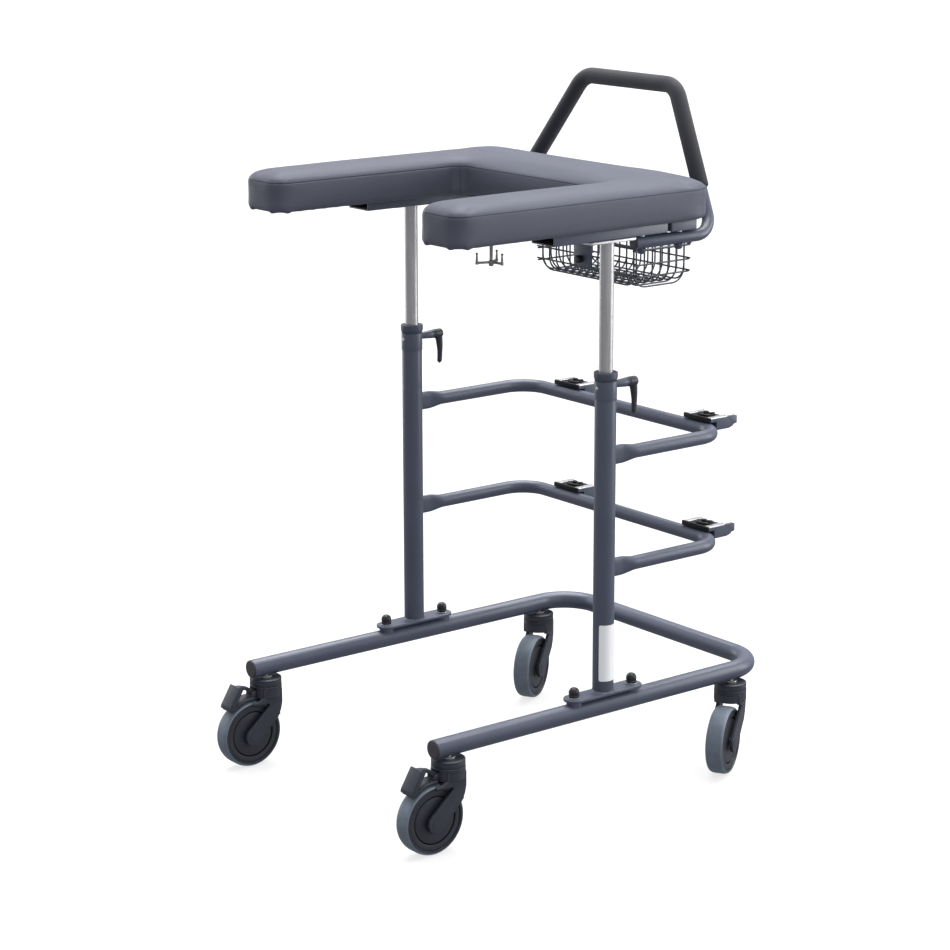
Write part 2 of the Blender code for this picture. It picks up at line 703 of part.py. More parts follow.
def build_coupler_knobs(root):
    """Oval turn-knob with a ridge along it, on a pin through the plate."""
    oval = [(KNOB_HALF_LENGTH * u, KNOB_HALF_WIDTH * v) for u, v in circle_section(1.0, TUBE_SIDES)]
    rim = [(KNOB_RIM_SHARE * u, KNOB_RIM_SHARE * v) for u, v in oval]
    ridge_half = KNOB_HALF_LENGTH * KNOB_RIDGE_SHARE
    corner = KNOB_RIDGE_HALF_WIDTH * KNOB_RIDGE_ROUNDING
    ridge = rounded_box_outline(ridge_half, KNOB_RIDGE_HALF_WIDTH, corner, steps=2)
    for name, x, height in coupler_places():
        base = GAP
        rings = [[(u, v, h) for u, v in line] for line, h in ((oval, base), (oval, base + KNOB_HEIGHT * 0.6))]
        rings.append([(u, v, base + KNOB_HEIGHT) for u, v in rim])
        place = (x, coupler_knob_y(), height + COUPLER_TOP_ABOVE_BAR - COUPLER_LAND_RISE)
        knob = make_object(f"coupler_knob_{name}", skin_rings(rings), BLACK_PLASTIC, root, place)
        pin = rod((0, 0, -COUPLER_STRIP_HEIGHT), (0, 0, base + 0.001), KNOB_PIN_RADIUS)
        join(knob, pin, extruded(ridge, base + 0.001, base + KNOB_HEIGHT + KNOB_RIDGE_HEIGHT))


# Casters, each built in its own frame: swivel axis on Z, wheel trailing towards -Y

def build_caster_head(name, parent):
    top = CASTER_HEAD_TOP
    low = top - CASTER_HEAD_HEIGHT
    r = CASTER_HEAD_RADIUS
    seat = BASE_TUBE_Z - BASE_TUBE_RADIUS - GAP
    stem_top = BASE_TUBE_Z - 0.004
    outline = [(0, low - STEM_DEPTH), (STEM_RADIUS, low - STEM_DEPTH), (STEM_RADIUS, low), (r, low)]
    outline += [(r, top - 0.0025), (CASTER_WASHER_RADIUS, top), (CASTER_WASHER_RADIUS, seat)]
    outline += [(STEM_RADIUS, seat), (STEM_RADIUS, stem_top), (0, stem_top)]
    make_object(f"caster_head_{name}", turned(outline, CASTER_SIDES), CASTER_PLASTIC, parent)


def fork_hood_top():
    return CASTER_HEAD_TOP - CASTER_HEAD_HEIGHT - RUNNING_GAP


def fork_arm_outline():
    """Side view of a fork arm: the hood's side, the curved leading edge and a 45 degree strut."""
    top = fork_hood_top() - 0.25 * FORK_HOOD_HEIGHT
    axle_y, axle_z = -CASTER_TRAIL, WHEEL_RADIUS
    points = [(FORK_LEADING_Y, top)]
    points += [(FORK_LEADING_Y + y, axle_z + z) for y, z in FORK_LEADING_CURVE]
    steps = 4
    for i in range(steps + 1):
        angle = -math.pi / 4 - math.pi * i / steps
        y = axle_y - FORK_ARM_OVERRUN + FORK_ARM_END_RADIUS * math.cos(angle)
        points.append((y, axle_z - FORK_ARM_OVERRUN + FORK_ARM_END_RADIUS * math.sin(angle)))
    low = fork_hood_top() - FORK_HOOD_HEIGHT
    points += [(FORK_TRAILING_Y + 0.016, low - 0.0065), (FORK_TRAILING_Y, low - 0.003)]
    points += [(FORK_TRAILING_Y, top)]
    return points


def build_fork(name, parent, braked):
    """Swivelling fork: the hood under the head, two arms and the axle between them."""
    top = fork_hood_top()
    low = top - FORK_HOOD_HEIGHT
    r = CASTER_HEAD_RADIUS
    stem = STEM_RADIUS + RUNNING_GAP
    outline = [(stem, low), (r, low), (r, top - 0.0010), (r - 0.0010, top), (stem, top)]
    hood = turned(outline, CASTER_SIDES, ring=True)
    fork = make_object(f"caster_fork_{name}", hood, CASTER_PLASTIC, parent)
    outer = FORK_INNER_HALF + FORK_ARM_THICKNESS
    arms = []
    for sign in (1.0, -1.0):
        low_x, high_x = sorted((sign * FORK_INNER_HALF, sign * outer))
        arms.append(extruded(fork_arm_outline(), low_x, high_x, "X"))
    half = FORK_INNER_HALF + 0.001
    axle = rod((-half, -CASTER_TRAIL, WHEEL_RADIUS), (half, -CASTER_TRAIL, WHEEL_RADIUS), AXLE_RADIUS)
    join(fork, *arms, axle)
    bottom = top - STEM_DEPTH - 2 * RUNNING_GAP
    cut(fork, bore((0, 0, bottom), (0, 0, top + 0.01), stem))
    if braked:
        wide = PEDAL_WIDTH / 2 + RUNNING_GAP
        deep = PEDAL_PIVOT[0] + PEDAL_ARM_RADIUS + RUNNING_GAP
        roof = PEDAL_PIVOT[1] + PEDAL_ARM_RADIUS + 0.004
        cut(fork, block((-wide, wide), (-2 * r, deep), (low - 0.01, roof)))
        y, z = PEDAL_PIVOT
        end = PEDAL_PIN_HALF + RUNNING_GAP
        cut(fork, bore((-end, y, z), (end, y, z), PEDAL_PIN_RADIUS + RUNNING_GAP))


def build_pedal(name, parent):
    """Foot pedal: a thick pad, two arms to the pivot pin and the shoe over the tyre."""
    pivot = Vector(PEDAL_PIVOT)
    top = Vector(PEDAL_TOP) - pivot
    lip = Vector(PEDAL_LIP) - pivot
    along = (lip - top).normalized()
    inward = Vector((-along.y, along.x)) * PEDAL_THICKNESS
    pad = [top, lip - along * 0.006, lip + inward * 0.15, lip + inward * 0.5 + along * 0.001]
    pad += [lip + inward * PEDAL_LIP_CORNER, lip + inward - along * PEDAL_LIP_CHAMFER, top + inward]
    half = PEDAL_WIDTH / 2
    empty = make_empty(f"pedal_axis_{name}", (0.0, pivot.x, pivot.y), parent)
    shape = extruded([tuple(p) for p in pad], -half, half, "X")
    pedal = make_object(f"brake_pedal_{name}", shape, CASTER_PLASTIC, empty)

    ring = [math.radians(-80 + 40 * i) for i in range(5)]
    arm = [(PEDAL_ARM_RADIUS * math.cos(a), PEDAL_ARM_RADIUS * math.sin(a)) for a in ring]
    arm += [tuple(top + inward * 0.85 + along * 0.0015), tuple(top + inward * 0.85 + along * 0.009)]
    pieces = []
    for sign in (1.0, -1.0):
        low_x, high_x = sorted((sign * (half - RUNNING_GAP), sign * (half - PEDAL_ARM_THICKNESS)))
        pieces.append(extruded(arm, low_x, high_x, "X"))

    axle = Vector((-CASTER_TRAIL, WHEEL_RADIUS)) - pivot
    inner = WHEEL_RADIUS + SHOE_CLEARANCE
    shoe = []
    for radius, start, end in ((inner, SHOE_FROM, SHOE_TO), (inner + SHOE_THICKNESS, SHOE_TO, SHOE_FROM)):
        for i in range(5):
            angle = start + (end - start) * i / 4
            shoe.append((axle.x + radius * math.cos(angle), axle.y + radius * math.sin(angle)))
    pieces.append(extruded(shoe, RUNNING_GAP - half, half - RUNNING_GAP, "X"))
    pieces.append(rod((-PEDAL_PIN_HALF, 0, 0), (PEDAL_PIN_HALF, 0, 0), PEDAL_PIN_RADIUS))
    join(pedal, *pieces)


def build_wheel(name, parent):
    """Wheel core with a recessed ring round its hub disc, and the tyre moulded on it."""
    half = TYRE_WIDTH / 2
    inside = AXLE_RADIUS + RUNNING_GAP
    face = half - 0.002
    core = [(inside, -face - 0.001), (HUB_DISC_RADIUS, -face), (HUB_DISC_RADIUS + 0.0012, -face + HUB_RECESS)]
    core += [(RIM_RADIUS, -face)]
    core += [(r, -z) for r, z in reversed(core)]
    seat = RIM_RADIUS + GAP
    tread = WHEEL_RADIUS / math.cos(math.pi / WHEEL_SIDES)
    tyre = [(seat, -half), (tread - TYRE_SHOULDER * 0.5, -half), (tread, -half + TYRE_SHOULDER)]
    tyre += [(r, -z) for r, z in reversed(tyre)]
    empty = make_empty(f"wheel_axis_{name}", (0.0, -CASTER_TRAIL, WHEEL_RADIUS), parent)
    for piece, outline, finish in (("wheel_core", core, WHEEL_PLASTIC), ("tyre", tyre, TYRE_RUBBER)):
        shape = turned(outline, WHEEL_SIDES, ring=True)
        shape.transform(Matrix.Rotation(math.pi / 2, 4, "Y") @ Matrix.Rotation(math.pi / WHEEL_SIDES, 4, "Z"))
        make_object(f"{piece}_{name}", shape, finish, empty)


def build_casters(root):
    for name, x, y, turn in caster_places():
        axis = make_empty(f"caster_axis_{name}", (x, y, 0.0), root, turn)
        braked = name.startswith("rear")
        build_caster_head(name, axis)
        build_fork(name, axis, braked)
        build_wheel(name, axis)
        if braked:
            build_pedal(name.removeprefix("rear_"), axis)


# Upper carriage

def build_inner_tubes(carriage):
    plate_top = RAIL_BOTTOM_Z - GAP
    tube_top = plate_top - HEAD_PLATE_THICKNESS
    inside = INNER_TUBE_RADIUS - INNER_TUBE_WALL
    low = tube_top - INNER_TUBE_LENGTH
    high = tube_top + 0.001
    outline = [(inside, low), (INNER_TUBE_RADIUS, low), (INNER_TUBE_RADIUS, high), (inside, high)]
    half_x, half_y = HEAD_PLATE_WIDTH / 2, HEAD_PLATE_LENGTH / 2
    for side, sign in SIDES:
        shape = turned(outline, POST_SIDES, ring=True)
        tube = make_object(f"inner_tube_{side}", shape, SATIN_STEEL, carriage)
        tube.location.x = sign * TRACK_HALF
        plate = extruded(rounded_box_outline(half_x, half_y, 0.006, steps=2), tube_top, plate_top)
        join(tube, plate)


def channel_outline(half, height, wall):
    return [(-half, 0), (half, 0), (half, height), (half - wall, height), (half - wall, wall),
            (wall - half, wall), (wall - half, height), (-half, height)]


def build_rails(carriage):
    half = RAIL_WIDTH / 2
    outline = channel_outline(half, RAIL_HEIGHT, RAIL_WALL)
    web = (-0.01, RAIL_WALL + 0.002)
    for side, sign in SIDES:
        place = (sign * RAIL_X, 0.0, RAIL_BOTTOM_Z)
        shape = extruded(outline, RAIL_REAR_Y, RAIL_FRONT_Y, "Y")
        rail = make_object(f"rail_{side}", shape, PAINT, carriage, place)
        bolt_x = sign * (HANDLE_X - RAIL_X)
        y = HANDLE_BOLT_REAR_Y
        cut(rail, bore((bolt_x, y, web[0]), (bolt_x, y, web[1]), HANDLE_BOLT_RADIUS + GAP))


def build_cross_channel(carriage):
    half = RAIL_X + RAIL_WIDTH / 2
    top = RAIL_BOTTOM_Z + RAIL_HEIGHT
    shape = block((-half, half), (CROSS_REAR_Y, CROSS_FRONT_Y), (RAIL_BOTTOM_Z, top))
    channel = make_object("cross_channel", shape, PAINT, carriage)
    wall = RAIL_WALL
    inside = half - wall
    pocket = block(
        (-inside, inside), (CROSS_REAR_Y + wall, CROSS_FRONT_Y - wall), (RAIL_BOTTOM_Z + wall, top + 0.01)
    )
    holes = []
    for _, sign in SIDES:
        x, y = sign * HANDLE_X, HANDLE_BOLT_FRONT_Y
        low, high = RAIL_BOTTOM_Z - 0.01, RAIL_BOTTOM_Z + wall + 0.002
        holes.append(bore((x, y, low), (x, y, high), HANDLE_BOLT_RADIUS + GAP))
    cut(channel, pocket, *holes)


def pad_outline(inset):
    """Outline of the U, moved inwards by the inset, with the same points at every inset."""
    corners = [
        (PAD_OUTER_X, PAD_REAR_Y, PAD_END_RADIUS, -1, 1),
        (PAD_OUTER_X, PAD_FRONT_Y, PAD_FRONT_RADIUS, -1, -1),
        (-PAD_OUTER_X, PAD_FRONT_Y, PAD_FRONT_RADIUS, 1, -1),
        (-PAD_OUTER_X, PAD_REAR_Y, PAD_END_RADIUS, 1, 1),
        (-PAD_INNER_X, PAD_REAR_Y, PAD_END_RADIUS, -1, 1),
        (-PAD_INNER_X, PAD_INNER_Y, -PAD_INNER_RADIUS, -1, 1),
        (PAD_INNER_X, PAD_INNER_Y, -PAD_INNER_RADIUS, 1, 1),
        (PAD_INNER_X, PAD_REAR_Y, PAD_END_RADIUS, 1, 1),
    ]
    flat = [Vector((x + sx * inset, y + sy * inset)) for x, y, _, sx, sy in corners]
    points = []
    steps = 5
    for i, (_, _, radius, _, _) in enumerate(corners):
        corner = flat[i]
        back = (flat[i - 1] - corner).normalized()
        ahead = (flat[(i + 1) % len(flat)] - corner).normalized()
        size = max(radius - inset, PAD_LEAST_RADIUS) if radius > 0 else inset - radius
        centre = corner + (back + ahead) * size
        for k in range(steps + 1):
            angle = math.pi / 2 * k / steps
            points.append(tuple(centre - ahead * size * math.cos(angle) - back * size * math.sin(angle)))
    return points


def build_pad(carriage):
    base = RAIL_BOTTOM_Z + RAIL_HEIGHT + GAP
    board_top = base + BOARD_THICKNESS
    make_object("pad_board", extruded(pad_outline(BOARD_INSET), base, board_top), BOARD, carriage)

    seam = base + PAD_SEAM_HEIGHT
    recess = BOARD_INSET - GAP
    levels = [
        (recess, board_top + GAP),
        (recess, base),
        (0.0016, base),
        (PAD_BULGE * 0.3, base + PAD_SEAM_HEIGHT * 0.30),
        (0.0, base + PAD_SEAM_HEIGHT * 0.62),
        (0.0006, seam - 0.003),
        (0.0018, seam),
        (0.0030, seam + 0.0022),
        (0.0085, seam + PAD_CROWN * 0.50),
        (0.0190, seam + PAD_CROWN * 0.82),
        (0.0340, seam + PAD_CROWN * 0.97),
        (0.0480, seam + PAD_CROWN),
    ]
    rings = [[(x, y, z) for x, y in pad_outline(inset)] for inset, z in levels]
    make_object("arm_pad", skin_rings(rings), VINYL, carriage)


def handle_corners():
    z = RAIL_BOTTOM_Z - HANDLE_SPACER_HEIGHT - HANDLE_RADIUS
    top = (HANDLE_TOP_X, HANDLE_TOP_Y, HANDLE_TOP_Z)
    return mirrored([(HANDLE_X, HANDLE_REAR_Y, z), (HANDLE_X, HANDLE_BEND_Y, z), top])


def build_handle(carriage):
    corners = handle_corners()
    path = filleted(corners, HANDLE_BEND_RADIUS, BEND_STEPS)
    outer = circle_section(HANDLE_RADIUS, TUBE_SIDES)
    inner = circle_section(HANDLE_RADIUS - HANDLE_WALL, TUBE_SIDES)
    tube = make_object("handle_tube", swept(path, outer, bore=inner), PAINT, carriage)
    z = corners[0][2]
    holes = []
    for _, x, y in handle_bolt_places():
        low, high = z - 2 * HANDLE_RADIUS, z + 2 * HANDLE_RADIUS
        holes.append(bore((x, y, low), (x, y, high), HANDLE_BOLT_RADIUS + GAP))
    cut(tube, *holes)

    bend, top = Vector(corners[1]), Vector(corners[2])
    end = bend + (top - bend) * (GRIP_END_Z - bend.z) / (top.z - bend.z)
    sleeve = filleted(mirrored([tuple(end), tuple(top)]), HANDLE_BEND_RADIUS, BEND_STEPS)
    outer = circle_section(GRIP_RADIUS, TUBE_SIDES)
    inner = circle_section((HANDLE_RADIUS + GAP) / math.cos(math.pi / TUBE_SIDES), TUBE_SIDES)
    make_object("handle_grip", swept(sleeve, outer, bore=inner), FOAM, carriage)


def handle_bolt_places():
    for side, sign in SIDES:
        for end, y in (("rear", HANDLE_BOLT_REAR_Y), ("front", HANDLE_BOLT_FRONT_Y)):
            yield f"{end}_{side}", sign * HANDLE_X, y


def build_handle_bolts(carriage):
    """Bolt head in the channel, spacer under it and domed nut below the handle tube."""
    web_top = RAIL_BOTTOM_Z + RAIL_WALL + GAP
    web_low = RAIL_BOTTOM_Z - GAP
    tube_top = RAIL_BOTTOM_Z - HANDLE_SPACER_HEIGHT + GAP
    nut_top = tube_top - 2 * HANDLE_RADIUS - 2 * GAP
    r = HANDLE_BOLT_RADIUS
    outline = [(0, web_top + 0.005), (0.0065, web_top + 0.005), (0.0065, web_top), (r, web_top), (r, web_low)]
    outline += [(HANDLE_SPACER_RADIUS, web_low), (HANDLE_SPACER_RADIUS, tube_top), (r, tube_top)]
    outline += [(r, nut_top), (HANDLE_NUT_RADIUS, nut_top)]
    outline += dome(HANDLE_NUT_RADIUS, nut_top - 0.003, 0.003 - HANDLE_NUT_HEIGHT, steps=2)
    for name, x, y in handle_bolt_places():
        make_object(f"handle_bolt_{name}", turned(outline, SMALL_SIDES), BLACK_PLASTIC, carriage, (x, y, 0.0))


def square_section(size):
    h = size / 2
    return [(-h, -h), (h, -h), (h, h), (-h, h)]


def merge_shapes(shapes):
    """Several separate shapes as one tool."""
    whole = bmesh.new()
    for shape in shapes:
        mesh = bpy.data.meshes.new("part")
        shape.to_mesh(mesh)
        shape.free()
        whole.from_mesh(mesh)
        bpy.data.meshes.remove(mesh)
    return whole


def spread(count, half):
    return [half * (2 * i / (count - 1) - 1) for i in range(count)]


def bend_inset(height):
    """How far a wire has turned inwards, on the first chord of its bend, at a height above its floor."""
    return max(BASKET_BEND_RADIUS - height, 0.0) * math.tan(math.pi / 4 / BASKET_BEND_STEPS)


def build_basket(carriage):
    """Welded wire basket: bent wires both ways, and three rings of straight wires outside them."""
    wire = BASKET_WIRE
    overlap = wire * 0.22
    bottom = BASKET_RIM_Z - BASKET_DEPTH
    middle_y = (BASKET_REAR_Y + BASKET_FRONT_Y) / 2
    half_y = (BASKET_FRONT_Y - BASKET_REAR_Y) / 2
    half_x = BASKET_HALF_X

    long_wires = []
    for x in spread(BASKET_LONG_WIRES, half_x - BASKET_WIRE):
        corners = [(x, middle_y - half_y, BASKET_RIM_Z), (x, middle_y - half_y, bottom)]
        corners += [(x, middle_y + half_y, bottom), (x, middle_y + half_y, BASKET_RIM_Z)]
        path = filleted(corners, BASKET_BEND_RADIUS, BASKET_BEND_STEPS)
        long_wires.append(swept(path, square_section(wire), side=(1.0, 0.0, 0.0)))
    cross_wires = []
    lift = wire + GAP
    for y in spread(BASKET_CROSS_WIRES, half_y - BASKET_WIRE):
        corners = [(-half_x, middle_y + y, BASKET_RIM_Z), (-half_x, middle_y + y, bottom + lift)]
        corners += [(half_x, middle_y + y, bottom + lift), (half_x, middle_y + y, BASKET_RIM_Z)]
        path = filleted(corners, BASKET_BEND_RADIUS, BASKET_BEND_STEPS)
        cross_wires.append(swept(path, square_section(wire), side=(0.0, 1.0, 0.0)))

    rows_x, rows_y = [], []
    for level in range(3):
        size = BASKET_RIM_WIRE if level == 0 else wire
        z = BASKET_RIM_Z - level * BASKET_LEVEL_SPACING
        up = z - size + overlap
        out = (wire + size) / 2 - overlap
        out_y = out - bend_inset(z - bottom) + (overlap + GAP if level else 0.0)
        out_x = out - bend_inset(up - bottom - lift)
        for sign in (1.0, -1.0):
            y = middle_y + sign * (half_y + out_y)
            reach = half_x + out + BASKET_OVERHANG
            rows_x.append(swept([(-reach, y, z), (reach, y, z)], square_section(size)))
            x = sign * (half_x + out_x)
            reach = half_y + out + BASKET_OVERHANG * 0.5
            rows_y.append(swept([(x, middle_y - reach, up), (x, middle_y + reach, up)], square_section(size)))
    basket = make_object("basket", merge_shapes(long_wires), COATED_WIRE, carriage)
    join(basket, merge_shapes(cross_wires), merge_shapes(rows_x), merge_shapes(rows_y))


def basket_rim_y():
    """Centre of the rim wire on the side of the bracket."""
    return BASKET_REAR_Y - (BASKET_WIRE + BASKET_RIM_WIRE) / 2 + BASKET_WIRE * 0.22


def build_basket_bracket(carriage):
    """Channel that hangs from the cross channel, with two hooks that carry the basket's rim."""
    half = BRACKET_WIDTH / 2
    wall = BRACKET_WALL
    rim = BASKET_RIM_WIRE / 2
    rim_y = basket_rim_y()
    depth = rim_y - rim - GAP - BRACKET_Y
    top = RAIL_BOTTOM_Z - GAP
    outline = [(-half, 0), (half, 0), (half, depth), (half - wall, depth), (half - wall, wall)]
    outline += [(wall - half, wall), (wall - half, depth), (-half, depth)]
    shape = extruded([(x, BRACKET_Y + y) for x, y in outline], BRACKET_BOTTOM_Z, top)
    bracket = make_object("basket_bracket", shape, PAINT, carriage)
    under = BASKET_RIM_Z - rim - GAP
    hook = [(BRACKET_Y + depth - wall, under - 0.003), (rim_y + rim + GAP + 0.002, under - 0.003)]
    hook += [(rim_y + rim + GAP + 0.002, under + 0.006), (rim_y + rim + GAP, under + 0.006)]
    hook += [(rim_y + rim + GAP, under), (BRACKET_Y + depth - wall, under)]
    pieces = [block((-half, half), (BRACKET_Y + wall - 0.001, CROSS_FRONT_Y - 0.002), (top - wall, top))]
    for sign in (1.0, -1.0):
        low_x, high_x = sorted((sign * half, sign * (half - BRACKET_HOOK_WIDTH)))
        pieces.append(extruded(hook, low_x, high_x, "X"))
    near, far = (0, BRACKET_Y - 0.01, THUMB_KNOB_Z), (0, BRACKET_Y + 0.01, THUMB_KNOB_Z)
    cut(bracket, bore(near, far, THUMB_PIN_RADIUS + RUNNING_GAP))
    join(bracket, *pieces)


def build_thumb_knob(carriage):
    r, length = THUMB_KNOB_RADIUS, THUMB_KNOB_LENGTH
    pin = THUMB_PIN_RADIUS
    outline = [(0, -THUMB_PIN_LENGTH), (pin, -THUMB_PIN_LENGTH), (pin, GAP), (r * 0.7, GAP), (r, 0.003)]
    outline += [(r, length - 0.0015)]
    outline += [(r - 0.0015, length), (0, length)]
    shape = turned(outline, TUBE_SIDES)
    shape.transform(Matrix.Rotation(math.pi / 2, 4, "X"))
    make_object("basket_knob", shape, BLACK_PLASTIC, carriage, (0.0, BRACKET_Y, THUMB_KNOB_Z))


def build_bag_hook(carriage):
    """Rod under the board with three arms, each turned up to a ball-ended peg."""
    top = RAIL_BOTTOM_Z + RAIL_HEIGHT
    hub = -HOOK_DROP
    outline = [(0, 0), (0.008, 0), (0.008, -0.0025), (HOOK_ROD_RADIUS, -0.0025)]
    outline += [(HOOK_ROD_RADIUS, hub + 0.003), (0.0045, hub + 0.002), (0.0045, hub - 0.004)]
    outline += [(0.003, hub - 0.0065), (0, hub - 0.0065)]
    place = (HOOK_X, HOOK_Y, top)
    hook = make_object("bag_hook", turned(outline, SMALL_SIDES), SATIN_STEEL, carriage, place)
    arms = []
    for angle in HOOK_ARM_ANGLES:
        ways = Vector((math.cos(math.radians(angle)), math.sin(math.radians(angle)), 0))
        up = Vector((0, 0, 1))
        foot = ways * HOOK_REACH + up * hub
        corners = [ways * 0.002 + up * hub, foot, foot + up * HOOK_PEG_HEIGHT]
        path = filleted(corners, 0.006, steps=3)
        arms.append(swept(path, circle_section(HOOK_ARM_RADIUS, 6), side=ways.cross(up)))
        ball_top = foot + up * (HOOK_PEG_HEIGHT + HOOK_BALL_RADIUS)
        ball = turned([(HOOK_BALL_RADIUS * math.sin(a), -HOOK_BALL_RADIUS * math.cos(a))
                       for a in (math.pi * i / 4 for i in range(5))], 6)
        ball.transform(Matrix.Translation(ball_top - up * 0.0005))
        arms.append(ball)
    join(hook, *arms)


def stand_on_origin(root):
    """Moves the whole so that its bounding box stands centred on the origin, to a whole millimetre."""
    bpy.context.view_layer.update()
    points = []
    for obj in bpy.data.objects:
        if obj.type == "MESH":
            points += [obj.matrix_world @ vert.co for vert in obj.data.vertices]
    for axis in (0, 1):
        low = min(p[axis] for p in points)
        high = max(p[axis] for p in points)
        root.location[axis] = -round((low + high) / 2, 3)


def main():
    clear_scene()
    root = make_empty("trainer")
    build_base_tube(root)
    build_plugs(root)
    build_foot_plates(root)
    build_foot_bolts(root)
    build_posts(root)
    build_bushes(root)
    build_levers(root)
    build_guard_bars(root)
    build_couplers(root)
    build_coupler_knobs(root)
    build_casters(root)
    carriage = make_empty("carriage", parent=root)
    build_inner_tubes(carriage)
    build_rails(carriage)
    build_cross_channel(carriage)
    build_pad(carriage)
    build_handle(carriage)
    build_handle_bolts(carriage)
    build_basket(carriage)
    build_basket_bracket(carriage)
    build_thumb_knob(carriage)
    build_bag_hook(carriage)
    stand_on_origin(root)


main()
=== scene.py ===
"""Gait trainer, dressed for the render.

Each rigid node of the frame is replaced by a finely turned, bent or moulded piece in the same place, the
arm pad by an upholstered cushion, and every surface gets a procedural finish. Lengths are in metres, in the
object's own frame: X 0 is its plane of symmetry and Y 0 the axis of the posts.
"""

import math

import bmesh
import bpy
from mathutils import Matrix, Quaternion, Vector


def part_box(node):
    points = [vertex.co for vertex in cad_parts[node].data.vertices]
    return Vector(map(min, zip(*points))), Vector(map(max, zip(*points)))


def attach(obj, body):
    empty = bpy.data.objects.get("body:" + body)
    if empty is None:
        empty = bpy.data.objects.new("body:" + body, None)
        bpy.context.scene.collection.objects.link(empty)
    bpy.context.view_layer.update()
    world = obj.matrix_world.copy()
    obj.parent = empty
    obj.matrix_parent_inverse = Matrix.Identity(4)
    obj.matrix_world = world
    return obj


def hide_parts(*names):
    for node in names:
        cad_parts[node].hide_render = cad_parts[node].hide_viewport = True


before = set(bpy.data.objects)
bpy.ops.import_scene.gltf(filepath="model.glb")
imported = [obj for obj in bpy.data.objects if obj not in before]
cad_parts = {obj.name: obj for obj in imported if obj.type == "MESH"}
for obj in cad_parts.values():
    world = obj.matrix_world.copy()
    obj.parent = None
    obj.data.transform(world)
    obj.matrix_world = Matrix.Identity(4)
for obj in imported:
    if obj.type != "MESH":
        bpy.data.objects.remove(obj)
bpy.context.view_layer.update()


def middle(node):
    low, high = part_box(node)
    return (low + high) / 2


# Places read from the frame

CENTRE = (middle("post_bush_right") + middle("post_bush_left")) / 2
CENTRE.z = 0.0
TRACK_HALF = middle("post_bush_right").x - CENTRE.x
SIDES = (("right", 1.0), ("left", -1.0))
ROWS = ("upper", "lower")


def low_of(node):
    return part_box(node)[0] - CENTRE


def high_of(node):
    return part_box(node)[1] - CENTRE


# Base
BASE_RADIUS = (high_of("base_tube").z - low_of("base_tube").z) / 2
BASE_Z = middle("base_tube").z
BASE_FRONT_Y = high_of("base_tube").y - BASE_RADIUS
BASE_REAR_Y = low_of("base_tube").y
BASE_BEND = 0.075
TUBE_WALL = 0.002
PLUG_LIP = 0.0025
PLUG_DEPTH = 0.014

# Foot plates and their bolts
PLATE_TOP = high_of("foot_plate_right").z
PLATE_THICKNESS = 0.005
PLATE_HALF_LENGTH = high_of("foot_plate_right").y
PLATE_HALF_WIDTH = 0.020
SADDLE_RADIUS = 0.0135
FOOT_BOLT_Y = 0.067
CAP_RADIUS = 0.0098
CAP_TOP = high_of("foot_bolt_front_right").z

# Posts, bushes and levers
POST_RADIUS = 0.019
SLEEVE_RADIUS = 0.0198
SLEEVE_LENGTH = 0.0335
POST_TOP = 0.7745
BUSH_RADIUS = 0.0211
BUSH_TOP = high_of("post_bush_right").z
BUSH_DEPTH = 0.045
LEVER_Z = POST_TOP - 0.009
BOSS_END_Y = 0.046
BOSS_ROOT = 0.0060
BOSS_RADIUS = 0.0082
LEVER_HEAD_RADIUS = 0.0087
LEVER_END_Y = 0.0722
LEVER_DOME = 0.0060
LEVER_ARM_Y = 0.0622
LEVER_ARM_LENGTH = 0.0578

# Guard bars and their couplers
GUARD_RADIUS = 0.0125
GUARD_FRONT_Y = 0.2815
GUARD_BEND = 0.055
GUARD_FLAT_HALF_HEIGHT = 0.017
GUARD_FLAT_HALF_WIDTH = 0.0055
GUARD_FLAT_LENGTH = 0.018
GUARD_FLARE_LENGTH = 0.034
COUPLER_HALF_WIDTH = 0.035
COUPLER_REAR_Y = 0.2765
COUPLER_FRONT_Y = 0.3445
COUPLER_TOP = 0.022
COUPLER_DEPTH = 0.0235
COUPLER_CHEEK = 0.0060
STRIP_DEPTH = 0.004
STRIP_HEIGHT = 0.0068
LAND_WIDTH = 0.0132
LAND_END_Y = 0.3200
LAND_RISE = 0.0020
KNOB_HALF_LENGTH = 0.019
KNOB_HALF_WIDTH = 0.0125

# Casters, each in its own frame: swivel axis on Z, the wheel trails towards -Y
WHEEL_RADIUS = 0.0625
TYRE_HALF = 0.016
RIM_RADIUS = 0.0535
HUB_RADIUS = 0.0425
TRAIL = 0.040
HEAD_TOP = 0.1645
HEAD_LOW = 0.1515
HOOD_TOP = 0.1510
HOOD_LOW = 0.1285
HOOD_BORE = 0.0065
HEAD_RADIUS = 0.0300
ARM_INNER = 0.0185
ARM_OUTER = 0.0250
ARM_END_RADIUS = 0.0172
FRONT_TURN = 30.0
PEDAL_PIVOT = Vector((-0.0190, 0.1380))
PEDAL_TOP = Vector((-0.0680, 0.1592))
PEDAL_LIP = Vector((-0.0921, 0.1193))
PEDAL_THICKNESS = 0.0105
PEDAL_HALF = 0.016
SHOE_RADIUS = WHEEL_RADIUS + 0.0049
SHOE_THICKNESS = 0.003

